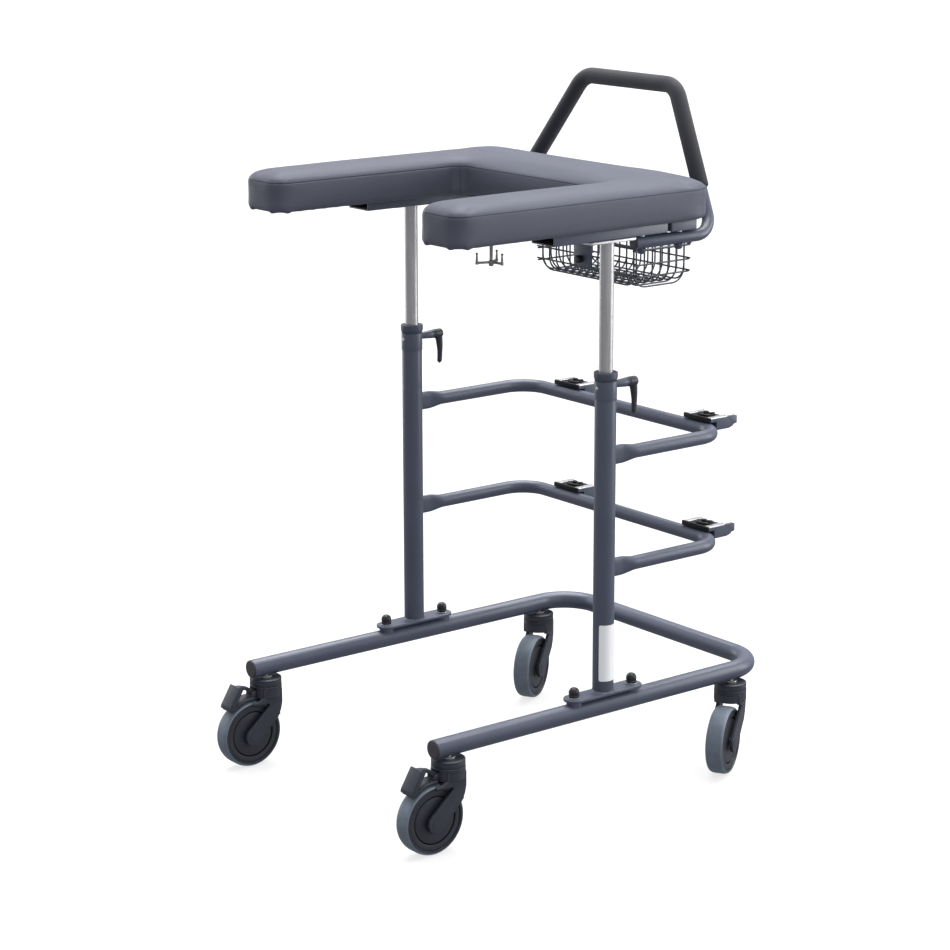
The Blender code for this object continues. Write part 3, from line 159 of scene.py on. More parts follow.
# Telescopic tubes, rails and cross channel
INNER_RADIUS = 0.0125
INNER_WALL = 0.0015
INNER_LOW = low_of("inner_tube_right").z
HEAD_PLATE_TOP = high_of("inner_tube_right").z
HEAD_PLATE_THICKNESS = 0.0045
HEAD_PLATE_HALF_X = 0.020
HEAD_PLATE_HALF_Y = 0.052
HEAD_SCREW_Y = 0.040
RAIL_X = 0.2655
RAIL_HALF = 0.030
RAIL_WALL = 0.0025
RAIL_LOW = low_of("rail_right").z
RAIL_HIGH = high_of("rail_right").z
RAIL_REAR_Y = low_of("rail_right").y
RAIL_FRONT_Y = high_of("rail_right").y
CROSS_REAR_Y = low_of("cross_channel").y
CROSS_FRONT_Y = high_of("cross_channel").y

# Arm pad
PAD_BOTTOM = low_of("arm_pad").z + 0.0005
PAD_TOP = high_of("arm_pad").z
PAD_SEAM = low_of("arm_pad").z + 0.053
PAD_OUTER_X = 0.318
PAD_INNER_X = 0.200
PAD_INNER_Y = 0.056
PAD_FRONT_Y = 0.232
PAD_FRONT_RADIUS = 0.062
PAD_REAR_Y = -0.342
PAD_END_Y = PAD_REAR_Y - 0.0125
PAD_END_RADIUS = 0.032
PAD_INNER_RADIUS = 0.024
PAD_LEAST_RADIUS = 0.006
PAD_SHRINK = 0.004
SEAM_GROOVE = 0.0011
SEAM_GRIP = 0.00012
UPRIGHT_SEAMS_X = (0.2290, 0.2350, -0.2800, -0.2860)
HEM_TIPS = (
    (PAD_OUTER_X - 0.027, PAD_END_Y + 0.006), (PAD_OUTER_X - 0.005, PAD_END_Y + 0.030),
    (PAD_INNER_X + 0.026, PAD_END_Y + 0.006), (PAD_INNER_X + 0.005, PAD_END_Y + 0.030),
)
HEM_HEIGHT = 0.012
HEM_PULL = 0.0050
HEM_REACH = 0.0120
ARM_END_LENGTH = 0.060
PAD_VOXEL = 0.0050
BOARD_INSET = 0.024
STAPLE_GAP = 0.0260
STAPLE_HALF = 0.0048
STAPLE_LEG = 0.0018
STAPLE_WIRE = 0.0005

# Push handle
HANDLE_RADIUS = 0.011
HANDLE_WALL = 0.0015
HANDLE_X = 0.2815
HANDLE_REAR_Y = 0.060
HANDLE_BEND_Y = 0.2425
HANDLE_Z = 1.0078
HANDLE_TOP = Vector((0.126, 0.292, 1.2515))
HANDLE_BEND = 0.045
GRIP_RADIUS = 0.015
GRIP_END_Z = 1.083
HANDLE_BOLTS_Y = (("rear", 0.077), ("front", 0.163))

# Wire basket and its bracket
BASKET_HALF_X = 0.132
BASKET_REAR_Y = 0.195
BASKET_FRONT_Y = 0.317
BASKET_RIM_Z = 0.9655
BASKET_BOTTOM_Z = BASKET_RIM_Z - 0.0725
BASKET_BEND = 0.028
WIRE = 0.0016
RIM_WIRE = 0.0022
WIRES_ALONG = 14
WIRES_ACROSS = 7
WIRE_SINK = 0.0003
RING_DROPS = (0.0, 0.0279, 0.0503)
WIRE_OVERHANG = 0.006
BRACKET_HALF = 0.022
BRACKET_Y = 0.180
BRACKET_LOW = 0.920
THUMB_KNOB_Z = 0.932

# Bag hook under the right arm
HOOK = Vector((0.247, -0.226, 1.039))
HOOK_HUB = -0.0385
HOOK_REACH = 0.025
HOOK_PEG = 0.0140
HOOK_ANGLES = (120.0, 248.0, 8.0)

# Blank film on the right post
FILM_LOW = 0.2335
FILM_HIGH = 0.337
FILM_START = math.radians(-64.7)
FILM_END = math.radians(55.0)
FILM_CORNER = 0.003

UP = Vector((0.0, 0.0, 1.0))
SHARP = math.radians(38.0)


# Shapes: each function that makes a solid returns a closed bmesh with its faces outwards

def skin(rings, closed=False):
    """A skin over rings of equal count, capped at both ends or joined last to first."""
    shape = bmesh.new()
    loops = [[shape.verts.new(point) for point in ring] for ring in rings]
    pairs = list(zip(loops, loops[1:]))
    if closed:
        pairs.append((loops[-1], loops[0]))
    for lower, upper in pairs:
        for i in range(len(lower)):
            j = (i + 1) % len(lower)
            shape.faces.new((lower[i], lower[j], upper[j], upper[i]))
    if not closed:
        shape.faces.new(loops[0][::-1])
        shape.faces.new(loops[-1])
    bmesh.ops.remove_doubles(shape, verts=shape.verts, dist=1e-6)
    if shape.calc_volume(signed=True) < 0:
        bmesh.ops.reverse_faces(shape, faces=shape.faces)
    return shape


def around(u, v, *steps):
    """Outline points, each given by its offset from one place."""
    return [(u + du, v + dv) for du, dv in steps]


def band(inner, outer, low, high):
    """Outline of a four-sided section."""
    return [(inner, low), (outer, low), (outer, high), (inner, high)]


def circle(radius, sides):
    angles = (math.tau * i / sides for i in range(sides))
    return [(radius * math.cos(a), radius * math.sin(a)) for a in angles]


def arc(radius, base, height, steps=8):
    """Outline of a dome from its edge to its pole."""
    angles = (math.pi / 2 * i / steps for i in range(steps + 1))
    return [(radius * math.cos(a), base + height * math.sin(a)) for a in angles]


def softened(outline, radius, steps=4, closed=False):
    """A 2D outline with each corner rounded by an arc of at most this radius."""
    points = [Vector(p) for p in outline]
    result = []
    for i, corner in enumerate(points):
        if not closed and i in (0, len(points) - 1):
            result.append(corner)
            continue
        back = points[i - 1] - corner
        ahead = points[(i + 1) % len(points)] - corner
        half = back.angle(ahead) / 2
        if half > math.radians(84.0):
            result.append(corner)
            continue
        trim = min(radius / math.tan(half), 0.49 * back.length, 0.49 * ahead.length)
        size = trim * math.tan(half)
        centre = corner + (back.normalized() + ahead.normalized()).normalized() * size / math.sin(half)
        first = corner + back.normalized() * trim - centre
        last = corner + ahead.normalized() * trim - centre
        begin = math.atan2(first.y, first.x)
        swing = (math.atan2(last.y, last.x) - begin + math.pi) % math.tau - math.pi
        for k in range(steps + 1):
            angle = begin + swing * k / steps
            result.append(centre + size * Vector((math.cos(angle), math.sin(angle))))
    return [tuple(p) for p in result]


def rectangle(half_x, half_y, radius, steps=6):
    corners = [(half_x, half_y), (-half_x, half_y), (-half_x, -half_y), (half_x, -half_y)]
    return softened(corners, radius, steps, closed=True)


def channel(half, height, wall, radius, steps):
    """Outline of an open channel that stands on its web."""
    outline = [(-half, 0), (half, 0), (half, height), (half - wall, height), (half - wall, wall)]
    outline += [(wall - half, wall), (wall - half, height), (-half, height)]
    return softened(outline, radius, steps, closed=True)


def lathe(outline, sides=64, ring=False, soft=0.0):
    """Turns an outline of (radius, height) about Z, from pole to pole or as a ring."""
    if soft:
        outline = softened(outline, soft, closed=ring)
    rings = [[(x, y, height) for x, y in circle(radius, sides)] for radius, height in outline]
    return skin(rings, closed=ring)


def dome(radius, base, height, steps, sides):
    """A round head on a flat foot."""
    return lathe([(0, 0), (radius, 0)] + arc(radius, base, height, steps), sides)


def extrude(outline, low, high, axis="Z"):
    """Extrudes a closed outline along X, Y or Z: (y, z), (x, z) or (x, y)."""
    spot = "XYZ".index(axis)
    return skin([[(*point[:spot], w, *point[spot:]) for point in outline] for w in (low, high)])


def block(x, y, z):
    return extrude(band(*x, *y), *z)


def rod(start, end, radius, end_radius=None, sides=24):
    start, end = Vector(start), Vector(end)
    tip = radius if end_radius is None else end_radius
    length = (end - start).length
    shape = lathe([(0, 0), (radius, 0), (tip, length), (0, length)], sides)
    lean = (end - start).to_track_quat("Z", "Y").to_matrix().to_4x4()
    return moved(shape, Matrix.Translation(start) @ lean)


def cross_rod(reach, y, z, radius, sides=24):
    """A rod along X from the first to the second value of its reach."""
    return rod((reach[0], y, z), (reach[1], y, z), radius, sides=sides)


def ball(centre, radius, steps=10, sides=20):
    angles = (math.pi * i / steps for i in range(steps + 1))
    shape = lathe([(radius * math.sin(a), -radius * math.cos(a)) for a in angles], sides)
    return moved(shape, Matrix.Translation(centre))


def filleted(corners, radius, steps=16):
    """The corner points of a path in space, with each inner corner rounded by an arc."""
    corners = [Vector(c) for c in corners]
    points = [corners[0]]
    for before, corner, after in zip(corners, corners[1:], corners[2:]):
        back = (before - corner).normalized()
        ahead = (after - corner).normalized()
        half = back.angle(ahead) / 2
        centre = corner + (back + ahead).normalized() * radius / math.sin(half)
        start = corner + back * radius / math.tan(half) - centre
        axis = ahead.cross(back)
        for i in range(steps + 1):
            points.append(centre + Quaternion(axis, (math.pi - 2 * half) * i / steps) @ start)
    points.append(corners[-1])
    return points


def sweep(points, sections, side=UP, bore=None):
    """Sweeps one section, or one for each point, along a path. A bore leaves a tube."""
    points = [Vector(p) for p in points]
    side = Vector(side)
    frames = []
    for i, point in enumerate(points):
        into = (point - points[i - 1]).normalized() if i else None
        out = (points[i + 1] - point).normalized() if i + 1 < len(points) else None
        along = ((into or out) + (out or into)).normalized()
        side = (side - along * side.dot(along)).normalized()
        frames.append((point, side, along.cross(side)))

    def rings(outlines):
        if not isinstance(outlines[0], list):
            outlines = [outlines] * len(points)
        return [[p + a * u + b * v for u, v in outline] for (p, a, b), outline in zip(frames, outlines)]

    if bore is None:
        return skin(rings(sections))
    return skin(rings(sections) + rings(bore)[::-1], closed=True)


def tube(points, radius, sides=32, wall=None, side=UP):
    bore = circle(radius - wall, sides) if wall else None
    return sweep(points, circle(radius, sides), side, bore)


def mirrored(points):
    """A path that starts on the right, carried on to its mirror image on the left."""
    return list(points) + [(-x, y, z) for x, y, z in reversed(points)]


def moved(shape, *matrices):
    for matrix in matrices:
        shape.transform(matrix)
    return shape


def shift(x=0.0, y=0.0, z=0.0):
    return Matrix.Translation((x, y, z))


def turn(degrees, axis):
    return Matrix.Rotation(math.radians(degrees), 4, axis)


def reach_of(sign, inner, outer):
    """Low and high X of what lies between two distances on one side."""
    return sorted((sign * inner, sign * outer))


# Pieces

def linked(obj):
    bpy.context.scene.collection.objects.link(obj)
    return obj


def baked(obj):
    """Gives the object the mesh that its modifiers make, and clears them."""
    bpy.context.view_layer.update()
    graph = bpy.context.evaluated_depsgraph_get()
    mesh = bpy.data.meshes.new_from_object(obj.evaluated_get(graph))
    obj.modifiers.clear()
    obj.data = mesh
    return obj


def shape_object(shape, material=None, bevel=0.0):
    """One shape as an object of its own, its edges rounded by the bevel."""
    mesh = bpy.data.meshes.new("shape")
    shape.to_mesh(mesh)
    shape.free()
    if material:
        mesh.materials.append(material)
    obj = linked(bpy.data.objects.new("shape", mesh))
    if bevel:
        modifier = obj.modifiers.new("edges", "BEVEL")
        modifier.width = bevel
        modifier.segments = 3
        modifier.limit_method = "ANGLE"
        modifier.angle_limit = math.radians(35.0)
        baked(obj)
    return obj


def unpacked(obj):
    """The object's mesh as a bmesh. The object itself goes."""
    shape = bmesh.new()
    shape.from_mesh(obj.data)
    bpy.data.objects.remove(obj)
    return shape


def united(shapes, bevel=0.0, cutters=()):
    """Overlapping shapes as one closed bmesh, less the cutters."""
    whole = shape_object(shapes[0], bevel=bevel)
    for operation, tools in (("UNION", shapes[1:]), ("DIFFERENCE", cutters)):
        for tool in tools:
            other = shape_object(tool, bevel=bevel if operation == "UNION" else 0.0)
            modifier = whole.modifiers.new("join", "BOOLEAN")
            modifier.operation = operation
            modifier.object = other
            baked(whole)
            bpy.data.objects.remove(other)
    return unpacked(whole)


def piece(name, parts, body, slot, replaces=(), place=Matrix()):
    """Makes one visible piece from (shape, material) or (shape, material, bevel) parts."""
    materials = []
    whole = bmesh.new()
    for obj in [shape_object(*part) for part in parts]:
        material = obj.data.materials[0]
        if material not in materials:
            materials.append(material)
        first = len(whole.faces)
        whole.from_mesh(obj.data)
        whole.faces.ensure_lookup_table()
        for face in whole.faces[first:]:
            face.material_index = materials.index(material)
        bpy.data.objects.remove(obj)
    mesh = bpy.data.meshes.new(name)
    whole.to_mesh(mesh)
    whole.free()
    for material in materials:
        mesh.materials.append(material)
    mesh.transform(Matrix.Translation(CENTRE) @ place)
    mesh.shade_smooth()
    mesh.set_sharp_from_angle(angle=SHARP)
    enrol(linked(bpy.data.objects.new(name, mesh)), body, slot, replaces)


def enrol(obj, body, slot, replaces=()):
    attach(obj, body)
    if replaces:
        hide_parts(*replaces)


# Finishes

def shade(colour, factor):
    return tuple(value * factor for value in colour)


class Finish:
    """A Principled material that is built up node by node, in object coordinates."""

    def __init__(self, name, roughness, metallic=0.0, **sockets):
        self.material = bpy.data.materials.new(name)
        self.material.use_nodes = True
        self.tree = self.material.node_tree
        self.shader = self.tree.nodes["Principled BSDF"]
        self.shader.inputs["Roughness"].default_value = roughness
        self.shader.inputs["Metallic"].default_value = metallic
        for socket, value in sockets.items():
            self.shader.inputs[socket.replace("_", " ")].default_value = value
        self.normal = None

    def node(self, kind, inputs=(), **settings):
        made = self.tree.nodes.new(kind)
        for key, value in settings.items():
            setattr(made, key, value)
        for socket, value in dict(inputs).items():
            self.set(made.inputs[socket], value)
        return made

    def set(self, socket, value):
        """Links another node's output, or sets a number or a colour of three or four channels."""
        if isinstance(value, bpy.types.NodeSocket):
            self.tree.links.new(value, socket)
        elif socket.type == "RGBA" and len(value) == 3:
            socket.default_value = (*value, 1.0)
        else:
            socket.default_value = value

    def place(self):
        return self.node("ShaderNodeTexCoord").outputs["Object"]

    def coordinates(self, scale=(1.0, 1.0, 1.0)):
        return self.node("ShaderNodeMapping", {"Vector": self.place(), "Scale": scale}).outputs["Vector"]

    def axis(self, name):
        return self.node("ShaderNodeSeparateXYZ", {"Vector": self.place()}).outputs[name]

    def noise(self, scale, detail=3.0, stretch=(1.0, 1.0, 1.0)):
        inputs = {"Vector": self.coordinates(stretch), "Scale": scale, "Detail": detail}
        return self.node("ShaderNodeTexNoise", inputs).outputs["Fac"]

    def cells(self, scale, feature="F1"):
        inputs = {"Vector": self.coordinates(), "Scale": scale}
        return self.node("ShaderNodeTexVoronoi", inputs, feature=feature).outputs["Distance"]

    def ranged(self, value, low, high, new_low=0.0, new_high=1.0):
        inputs = {"Value": value, "From Min": low, "From Max": high, "To Min": new_low, "To Max": new_high}
        return self.node("ShaderNodeMapRange", inputs).outputs["Result"]

    def maths(self, operation, first, second=0.0):
        made = self.node("ShaderNodeMath", operation=operation)
        self.set(made.inputs[0], first)
        self.set(made.inputs[1], second)
        return made.outputs["Value"]

    def times(self, first, second):
        return self.maths("MULTIPLY", first, second)

    def less(self, first, second):
        return self.maths("SUBTRACT", first, second)

    def larger(self, first, second):
        return self.maths("MAXIMUM", first, second)

    def apart(self, value, place):
        return self.maths("ABSOLUTE", self.less(value, place))

    def mixed(self, factor, first, second):
        """Mixes two colours, each a triple or another node's output."""
        made = self.node("ShaderNodeMix", data_type="RGBA")
        self.set(made.inputs["Factor"], factor)
        self.set(made.inputs[6], first)
        self.set(made.inputs[7], second)
        return made.outputs[2]

    def clouded(self, colour, dark, light, scale, detail=3.0, low=0.3, high=0.7):
        """The colour in darker and lighter clouds, and the clouds themselves."""
        cloud = self.ranged(self.noise(scale, detail), low, high)
        return self.mixed(cloud, shade(colour, dark), shade(colour, light)), cloud

    def bump(self, height, depth, strength=1.0):
        inputs = {"Height": height, "Distance": depth, "Strength": strength}
        if self.normal:
            inputs["Normal"] = self.normal
        self.normal = self.node("ShaderNodeBump", inputs).outputs["Normal"]

    def finished(self, colour, roughness=None):
        self.set(self.shader.inputs["Base Color"], colour)
        if roughness is not None:
            self.set(self.shader.inputs["Roughness"], roughness)
        if self.normal:
            self.set(self.shader.inputs["Normal"], self.normal)
        return self.material


def powder_coat(name="powder_coat", colour=(0.069, 0.080, 0.120)):
    """Satin powder coat: faint mottling and a fine orange peel."""
    finish = Finish(name, 0.40, 0.0, Coat_Weight=0.18, Coat_Roughness=0.25)
    base, cloud = finish.clouded(colour, 0.93, 1.07, 9.0, 4.0, 0.35, 0.65)
    fleck = finish.ranged(finish.noise(1400.0, 2.0), 0.60, 0.72)
    base = finish.mixed(finish.times(fleck, 0.35), base, shade(colour, 1.7))
    finish.bump(finish.noise(420.0, 3.0), 0.00012, 0.5)
    return finish.finished(base, finish.ranged(cloud, 0.0, 1.0, 0.38, 0.46))


def bright_steel(name="satin_steel", along=(1.0, 1.0, 0.02), tone=1.0):
    """Satin plated steel, ground along its length."""
    finish = Finish(name, 0.3, 1.0)
    lines = finish.noise(900.0, 3.0, along)
    dark, light = shade((0.42, 0.412, 0.422), tone), shade((0.54, 0.532, 0.542), tone)
    base = finish.mixed(finish.ranged(lines, 0.3, 0.7), dark, light)
    finish.bump(lines, 0.00002, 0.25)
    fine = finish.ranged(lines, 0.3, 0.7, 0.40, 0.47)
    broad = finish.ranged(finish.noise(14.0, 3.0), 0.3, 0.7, -0.03, 0.03)
    return finish.finished(base, finish.maths("ADD", fine, broad))


def moulded(name, colour, roughness, grain=0.00009, specular=0.5):
    """Moulded plastic with a fine spark-eroded grain."""
    finish = Finish(name, roughness, Specular_IOR_Level=specular)
    grains = finish.noise(900.0, 3.0)
    base, _ = finish.clouded(colour, 0.90, 1.12, 28.0)
    finish.bump(grains, grain, 0.6)
    return finish.finished(base, finish.ranged(grains, 0.3, 0.7, roughness - 0.05, roughness + 0.06))


def rubber(name, colour):
    """Soft tread rubber, slightly dusty."""
    finish = Finish(name, 0.55, 0.0, Sheen_Weight=0.08, Sheen_Roughness=0.5)
    base, dust = finish.clouded(colour, 0.92, 1.18, 60.0, 5.0, 0.35, 0.75)
    finish.bump(finish.noise(1100.0, 2.0), 0.00006, 0.5)
    return finish.finished(base, finish.ranged(dust, 0.0, 1.0, 0.48, 0.60))


def foam(name="grip_foam", colour=(0.017, 0.0175, 0.026)):
    """Closed-cell foam: a skin of tiny pores, with painted shade in the pores."""
    finish = Finish(name, 0.8, 0.0, Sheen_Weight=0.15, Sheen_Roughness=0.6)
    pores = finish.cells(1300.0)
    base, cloud = finish.clouded(colour, 0.88, 1.15, 40.0, 4.0)
    # painted shade: darker in the pores
    base = finish.mixed(finish.ranged(pores, 0.0, 0.35), shade(colour, 0.6), base)
    finish.bump(pores, 0.00018, 0.6)
    return finish.finished(base, finish.ranged(cloud, 0.0, 1.0, 0.74, 0.86))


def seam_lines(finish):
    """Where the cushion's seams run, round the top edge, up the arm ends and across the inner corners: the
    mask for their pressed grooves and for the painted shade in them.
    """
    x, y, z = (finish.axis(name) for name in "XYZ")

    def near(value, place, reach, most=1.0):
        return finish.ranged(finish.apart(value, place), reach * 0.4, reach, most, 0.0)

    top = near(z, PAD_SEAM, 0.0012, 0.55)
    below = finish.times(finish.ranged(z, PAD_SEAM - 0.001, PAD_SEAM, 1.0, 0.0), 0.6)
    end_y = CENTRE.y + PAD_END_Y
    ends = finish.ranged(y, end_y + 0.020, end_y + 0.021, 1.0, 0.0)
    upright, *others = [near(x, CENTRE.x + place, 0.0014) for place in UPRIGHT_SEAMS_X]
    for other in others:
        upright = finish.larger(upright, other)
    upright = finish.times(finish.times(upright, ends), below)
    inner = finish.ranged(finish.apart(x, CENTRE.x), 0.225, 0.227, 1.0, 0.0)
    diagonal = finish.less(finish.apart(x, CENTRE.x), y)
    corner = near(diagonal, PAD_INNER_X - PAD_INNER_Y - CENTRE.y, 0.0012)
    corner = finish.times(finish.times(corner, inner), below)
    return finish.larger(finish.larger(top, upright), corner)


def vinyl(name="vinyl", colour=(0.080, 0.085, 0.119)):
    """Upholstery vinyl with a fine leather grain, drawn in along the seams, with painted shade in the grain's
    creases and along the seams.
    """
    finish = Finish(name, 0.52, 0.0, Specular_IOR_Level=0.38, Sheen_Weight=0.05)
    creases = finish.ranged(finish.cells(620.0, "DISTANCE_TO_EDGE"), 0.0, 0.10)
    base, _ = finish.clouded(colour, 0.95, 1.06, 7.0, 5.0)
    # painted shade: the grain's creases darkened
    base = finish.mixed(finish.times(finish.less(1.0, creases), 0.28), base, shade(colour, 0.6))
    lines = seam_lines(finish)
    # painted shade: the seams darkened to near black in their grooves
    base = finish.mixed(lines, base, shade(colour, 0.22))
    finish.bump(finish.less(1.0, lines), 0.0008, 0.6)
    finish.bump(creases, 0.00010, 0.45)
    finish.bump(finish.noise(26.0, 4.0), 0.0010, 0.12)
    return finish.finished(base, finish.ranged(creases, 0.0, 1.0, 0.64, 0.52))


def plywood(name="plywood", colour=(0.30, 0.20, 0.115)):
    finish = Finish(name, 0.7)
    grain = finish.noise(18.0, 8.0, (1.0, 9.0, 9.0))
    base = finish.mixed(finish.ranged(grain, 0.35, 0.65), shade(colour, 0.78), shade(colour, 1.2))
    finish.bump(grain, 0.0002, 0.5)
    return finish.finished(base)


def aluminium(name="aluminium"):
    """Extruded aluminium with fine die lines along Y."""
    finish = Finish(name, 0.34, 1.0)
    lines = finish.noise(900.0, 2.0, (1.0, 0.02, 1.0))
    base = finish.mixed(lines, (0.54, 0.55, 0.57), (0.70, 0.71, 0.72))
    finish.bump(lines, 0.00004, 0.4)
    return finish.finished(base, finish.ranged(lines, 0.3, 0.7, 0.28, 0.42))


def film(name="rating_film"):
    """Blank white polyester film."""
    finish = Finish(name, 0.32, 0.0, Coat_Weight=0.2, Coat_Roughness=0.15)
    cloud = finish.ranged(finish.noise(60.0, 3.0), 0.3, 0.7)
    finish.bump(finish.noise(180.0, 2.0), 0.00005, 0.3)
    return finish.finished(finish.mixed(cloud, (0.97, 0.975, 0.985), (0.985, 0.985, 0.99)))


PAINT = powder_coat()
STEEL = bright_steel()
STEEL_FLAT = bright_steel("satin_steel_flat", (1.0, 0.02, 1.0), 1.25)
# painted shade: a darker copy of the satin steel for the hook and staples under the pad
SHADED_STEEL = bright_steel("steel_painted_shade", tone=0.5)
CASTER = moulded("caster_nylon", (0.024, 0.0275, 0.040), 0.46)
LEVER = moulded("lever_plastic", (0.024, 0.026, 0.040), 0.42)
# painted shade: a near-black finish for the bottom of the hub groove
GROOVE_SHADE = moulded("painted_groove_shade", (0.0015, 0.0015, 0.002), 0.7, specular=0.15)
KNOB = moulded("knob_black", (0.004, 0.004, 0.006), 0.5, specular=0.22)
WHEEL = moulded("wheel_plastic", (0.022, 0.025, 0.035), 0.42)
TYRE = rubber("tyre_rubber", (0.130, 0.160, 0.200))
# painted highlight: a lighter rubber for a thin ring at each tyre shoulder
TYRE_HIGHLIGHT = rubber("tyre_painted_highlight", (0.170, 0.200, 0.240))
BLACK = moulded("black_plastic", (0.008, 0.008, 0.012), 0.40)
PLUG = moulded("plug_plastic", (0.040, 0.039, 0.049), 0.50)
BUSH = moulded("bush_plastic", (0.052, 0.063, 0.096), 0.44)
WIRE_COAT = powder_coat("wire_coat", (0.036, 0.041, 0.060))
FOAM = foam()
VINYL = vinyl()
BOARD = plywood()
ALUMINIUM = aluminium()
FILM = film()
RED = moulded("red_dot", (0.50, 0.03, 0.02), 0.35, 0.00005)


# Base

def build_base():
    corners = mirrored([(TRACK_HALF, BASE_REAR_Y, BASE_Z), (TRACK_HALF, BASE_FRONT_Y, BASE_Z)])
    shape = tube(filleted(corners, BASE_BEND, 24), BASE_RADIUS, 56, TUBE_WALL)
    piece("base_frame_tube", [(shape, PAINT, 0.0004)], "frame", "frame_paint", ["base_tube"])
    bore = BASE_RADIUS - TUBE_WALL
    outline = [(0, -PLUG_DEPTH), (bore, -PLUG_DEPTH), (bore, 0), (BASE_RADIUS, 0)]
    outline += [(BASE_RADIUS - 0.0004, PLUG_LIP * 0.6), (BASE_RADIUS - 0.0022, PLUG_LIP)]
    outline += [(BASE_RADIUS * 0.55, PLUG_LIP + 0.0002), (0, PLUG_LIP + 0.0003)]
    for side, sign in SIDES:
        parts = [(lathe(outline, 48, soft=0.0012), PLUG)]
        place = shift(sign * TRACK_HALF, BASE_REAR_Y - 0.0001, BASE_Z) @ turn(90, "X")
        piece(f"end_plug_{side}", parts, "frame", "black_plastic", [f"base_plug_{side}"], place)


def build_foot_plates():
    outline = rectangle(PLATE_HALF_WIDTH, PLATE_HALF_LENGTH, PLATE_HALF_WIDTH - 0.0001, 14)
    under = PLATE_TOP - PLATE_THICKNESS
    saddle = band(0, SADDLE_RADIUS, BASE_Z + 0.010, under + 0.001)
    for side, sign in SIDES:
        parts = [(extrude(outline, under, PLATE_TOP), PAINT, 0.0009)]
        for y in (-FOOT_BOLT_Y, FOOT_BOLT_Y):
            parts.append((moved(lathe(saddle, 48, soft=0.0008), shift(y=y)), PAINT))
        parts.append((weld_ring(POST_RADIUS, PLATE_TOP, 0.0030), PAINT))
        place = shift(x=sign * TRACK_HALF)
        piece(f"post_foot_{side}", parts, "frame", "frame_paint", [f"foot_plate_{side}"], place)


def weld_ring(radius, z, size):
    """A fillet weld where an upright tube stands on a plate, with the ripples of its pool."""
    rings = []
    sides = 96
    for i in range(sides):
        angle = math.tau * i / sides
        swell = size * (1.0 + 0.07 * math.sin(31.0 * angle) + 0.05 * math.sin(7.0 * angle + 1.0))
        section = around(radius, z, (-0.001, -0.001), (swell, -0.001), (swell, 0))
        section += around(radius, z, (0.42 * swell, 0.42 * swell), (0, swell), (-0.001, swell))
        section = softened(section, 0.0006, 2, True)
        rings.append([(r * math.cos(angle), r * math.sin(angle), h) for r, h in section])
    return skin(rings, closed=True)


def build_foot_bolts():
    """Domed cap with a ring at its foot, on a bright washer over the bolt."""
    washer = PLATE_TOP + 0.0002
    cap = washer + 0.0014
    outline = [(0, cap)]
    outline += around(CAP_RADIUS, cap, (0, 0), (0.0002, 0.0030), (-0.0006, 0.0036), (-0.0006, 0.0044))
    outline += arc(CAP_RADIUS - 0.0002, cap + 0.0090, CAP_TOP - cap - 0.0090, 10)
    ring = band(0.0030, CAP_RADIUS + 0.0008, washer, cap)
    for side, sign in SIDES:
        for end, y in (("front", FOOT_BOLT_Y), ("rear", -FOOT_BOLT_Y)):
            parts = [(lathe(outline, 48, soft=0.0005), BLACK)]
            parts.append((lathe(ring, 48, ring=True, soft=0.0003), STEEL_FLAT))
            parts.append((rod((0, 0, BASE_Z + 0.004), (0, 0, cap + 0.001), 0.0038), STEEL_FLAT))
            place = shift(sign * TRACK_HALF, y)
            node = f"foot_bolt_{end}_{side}"
            piece(node.replace("bolt", "cap"), parts, "frame", "black_plastic", [node], place)


# Posts

def build_posts():
    """Tube with a wider sleeve at its mouth, the lever's boss in its collar, and a rivet."""
    step = POST_TOP - SLEEVE_LENGTH
    inside = POST_RADIUS - TUBE_WALL
    bottom = PLATE_TOP + 0.0002
    outline = [(inside, bottom), (POST_RADIUS, bottom)]
    outline += around(POST_RADIUS, step, (0, -0.0002), (-0.0003, 0))
    outline += [(SLEEVE_RADIUS, step + 0.0003), (SLEEVE_RADIUS, POST_TOP), (inside, POST_TOP)]
    root = (0, POST_RADIUS - 0.001, 0)
    rivet_place = shift(0, -SLEEVE_RADIUS + 0.0004, LEVER_Z - 0.003) @ turn(90, "X")
    for side, sign in SIDES:
        boss = rod(root, (0, BOSS_END_Y - 0.0002, 0), BOSS_ROOT, BOSS_RADIUS, 40)
        collar = rod(root, (0, SLEEVE_RADIUS + 0.0014, 0), BOSS_ROOT + 0.0022, BOSS_ROOT + 0.0006, 40)
        parts = [(lathe(outline, 72, ring=True, soft=0.0003), PAINT)]
        parts += [(moved(shape, shift(z=LEVER_Z)), PAINT, 0.0004) for shape in (boss, collar)]
        parts.append((moved(dome(0.0030, 0.0005, 0.0011, 5, 32), rivet_place), STEEL_FLAT))
        place = shift(x=sign * TRACK_HALF)
        piece(f"outer_post_{side}", parts, "frame", "frame_paint", [f"post_{side}"], place)


def build_bushes():
    inside = INNER_RADIUS + 0.0005
    sleeve = POST_RADIUS - TUBE_WALL - 0.0002
    outline = [(inside, POST_TOP - BUSH_DEPTH), (sleeve, POST_TOP - BUSH_DEPTH)]
    outline += [(sleeve, POST_TOP), (POST_RADIUS, POST_TOP + 0.0003)]
    outline += around(BUSH_RADIUS, BUSH_TOP, (0, -0.0095), (0, -0.0010), (-0.0010, 0))
    outline += around(inside, BUSH_TOP, (0.0008, 0), (0, -0.0008))
    for side, sign in SIDES:
        parts = [(lathe(outline, 72, ring=True, soft=0.0006), BUSH)]
        place = shift(x=sign * TRACK_HALF)
        piece(f"guide_bush_{side}", parts, "frame", "bush_plastic", [f"post_bush_{side}"], place)


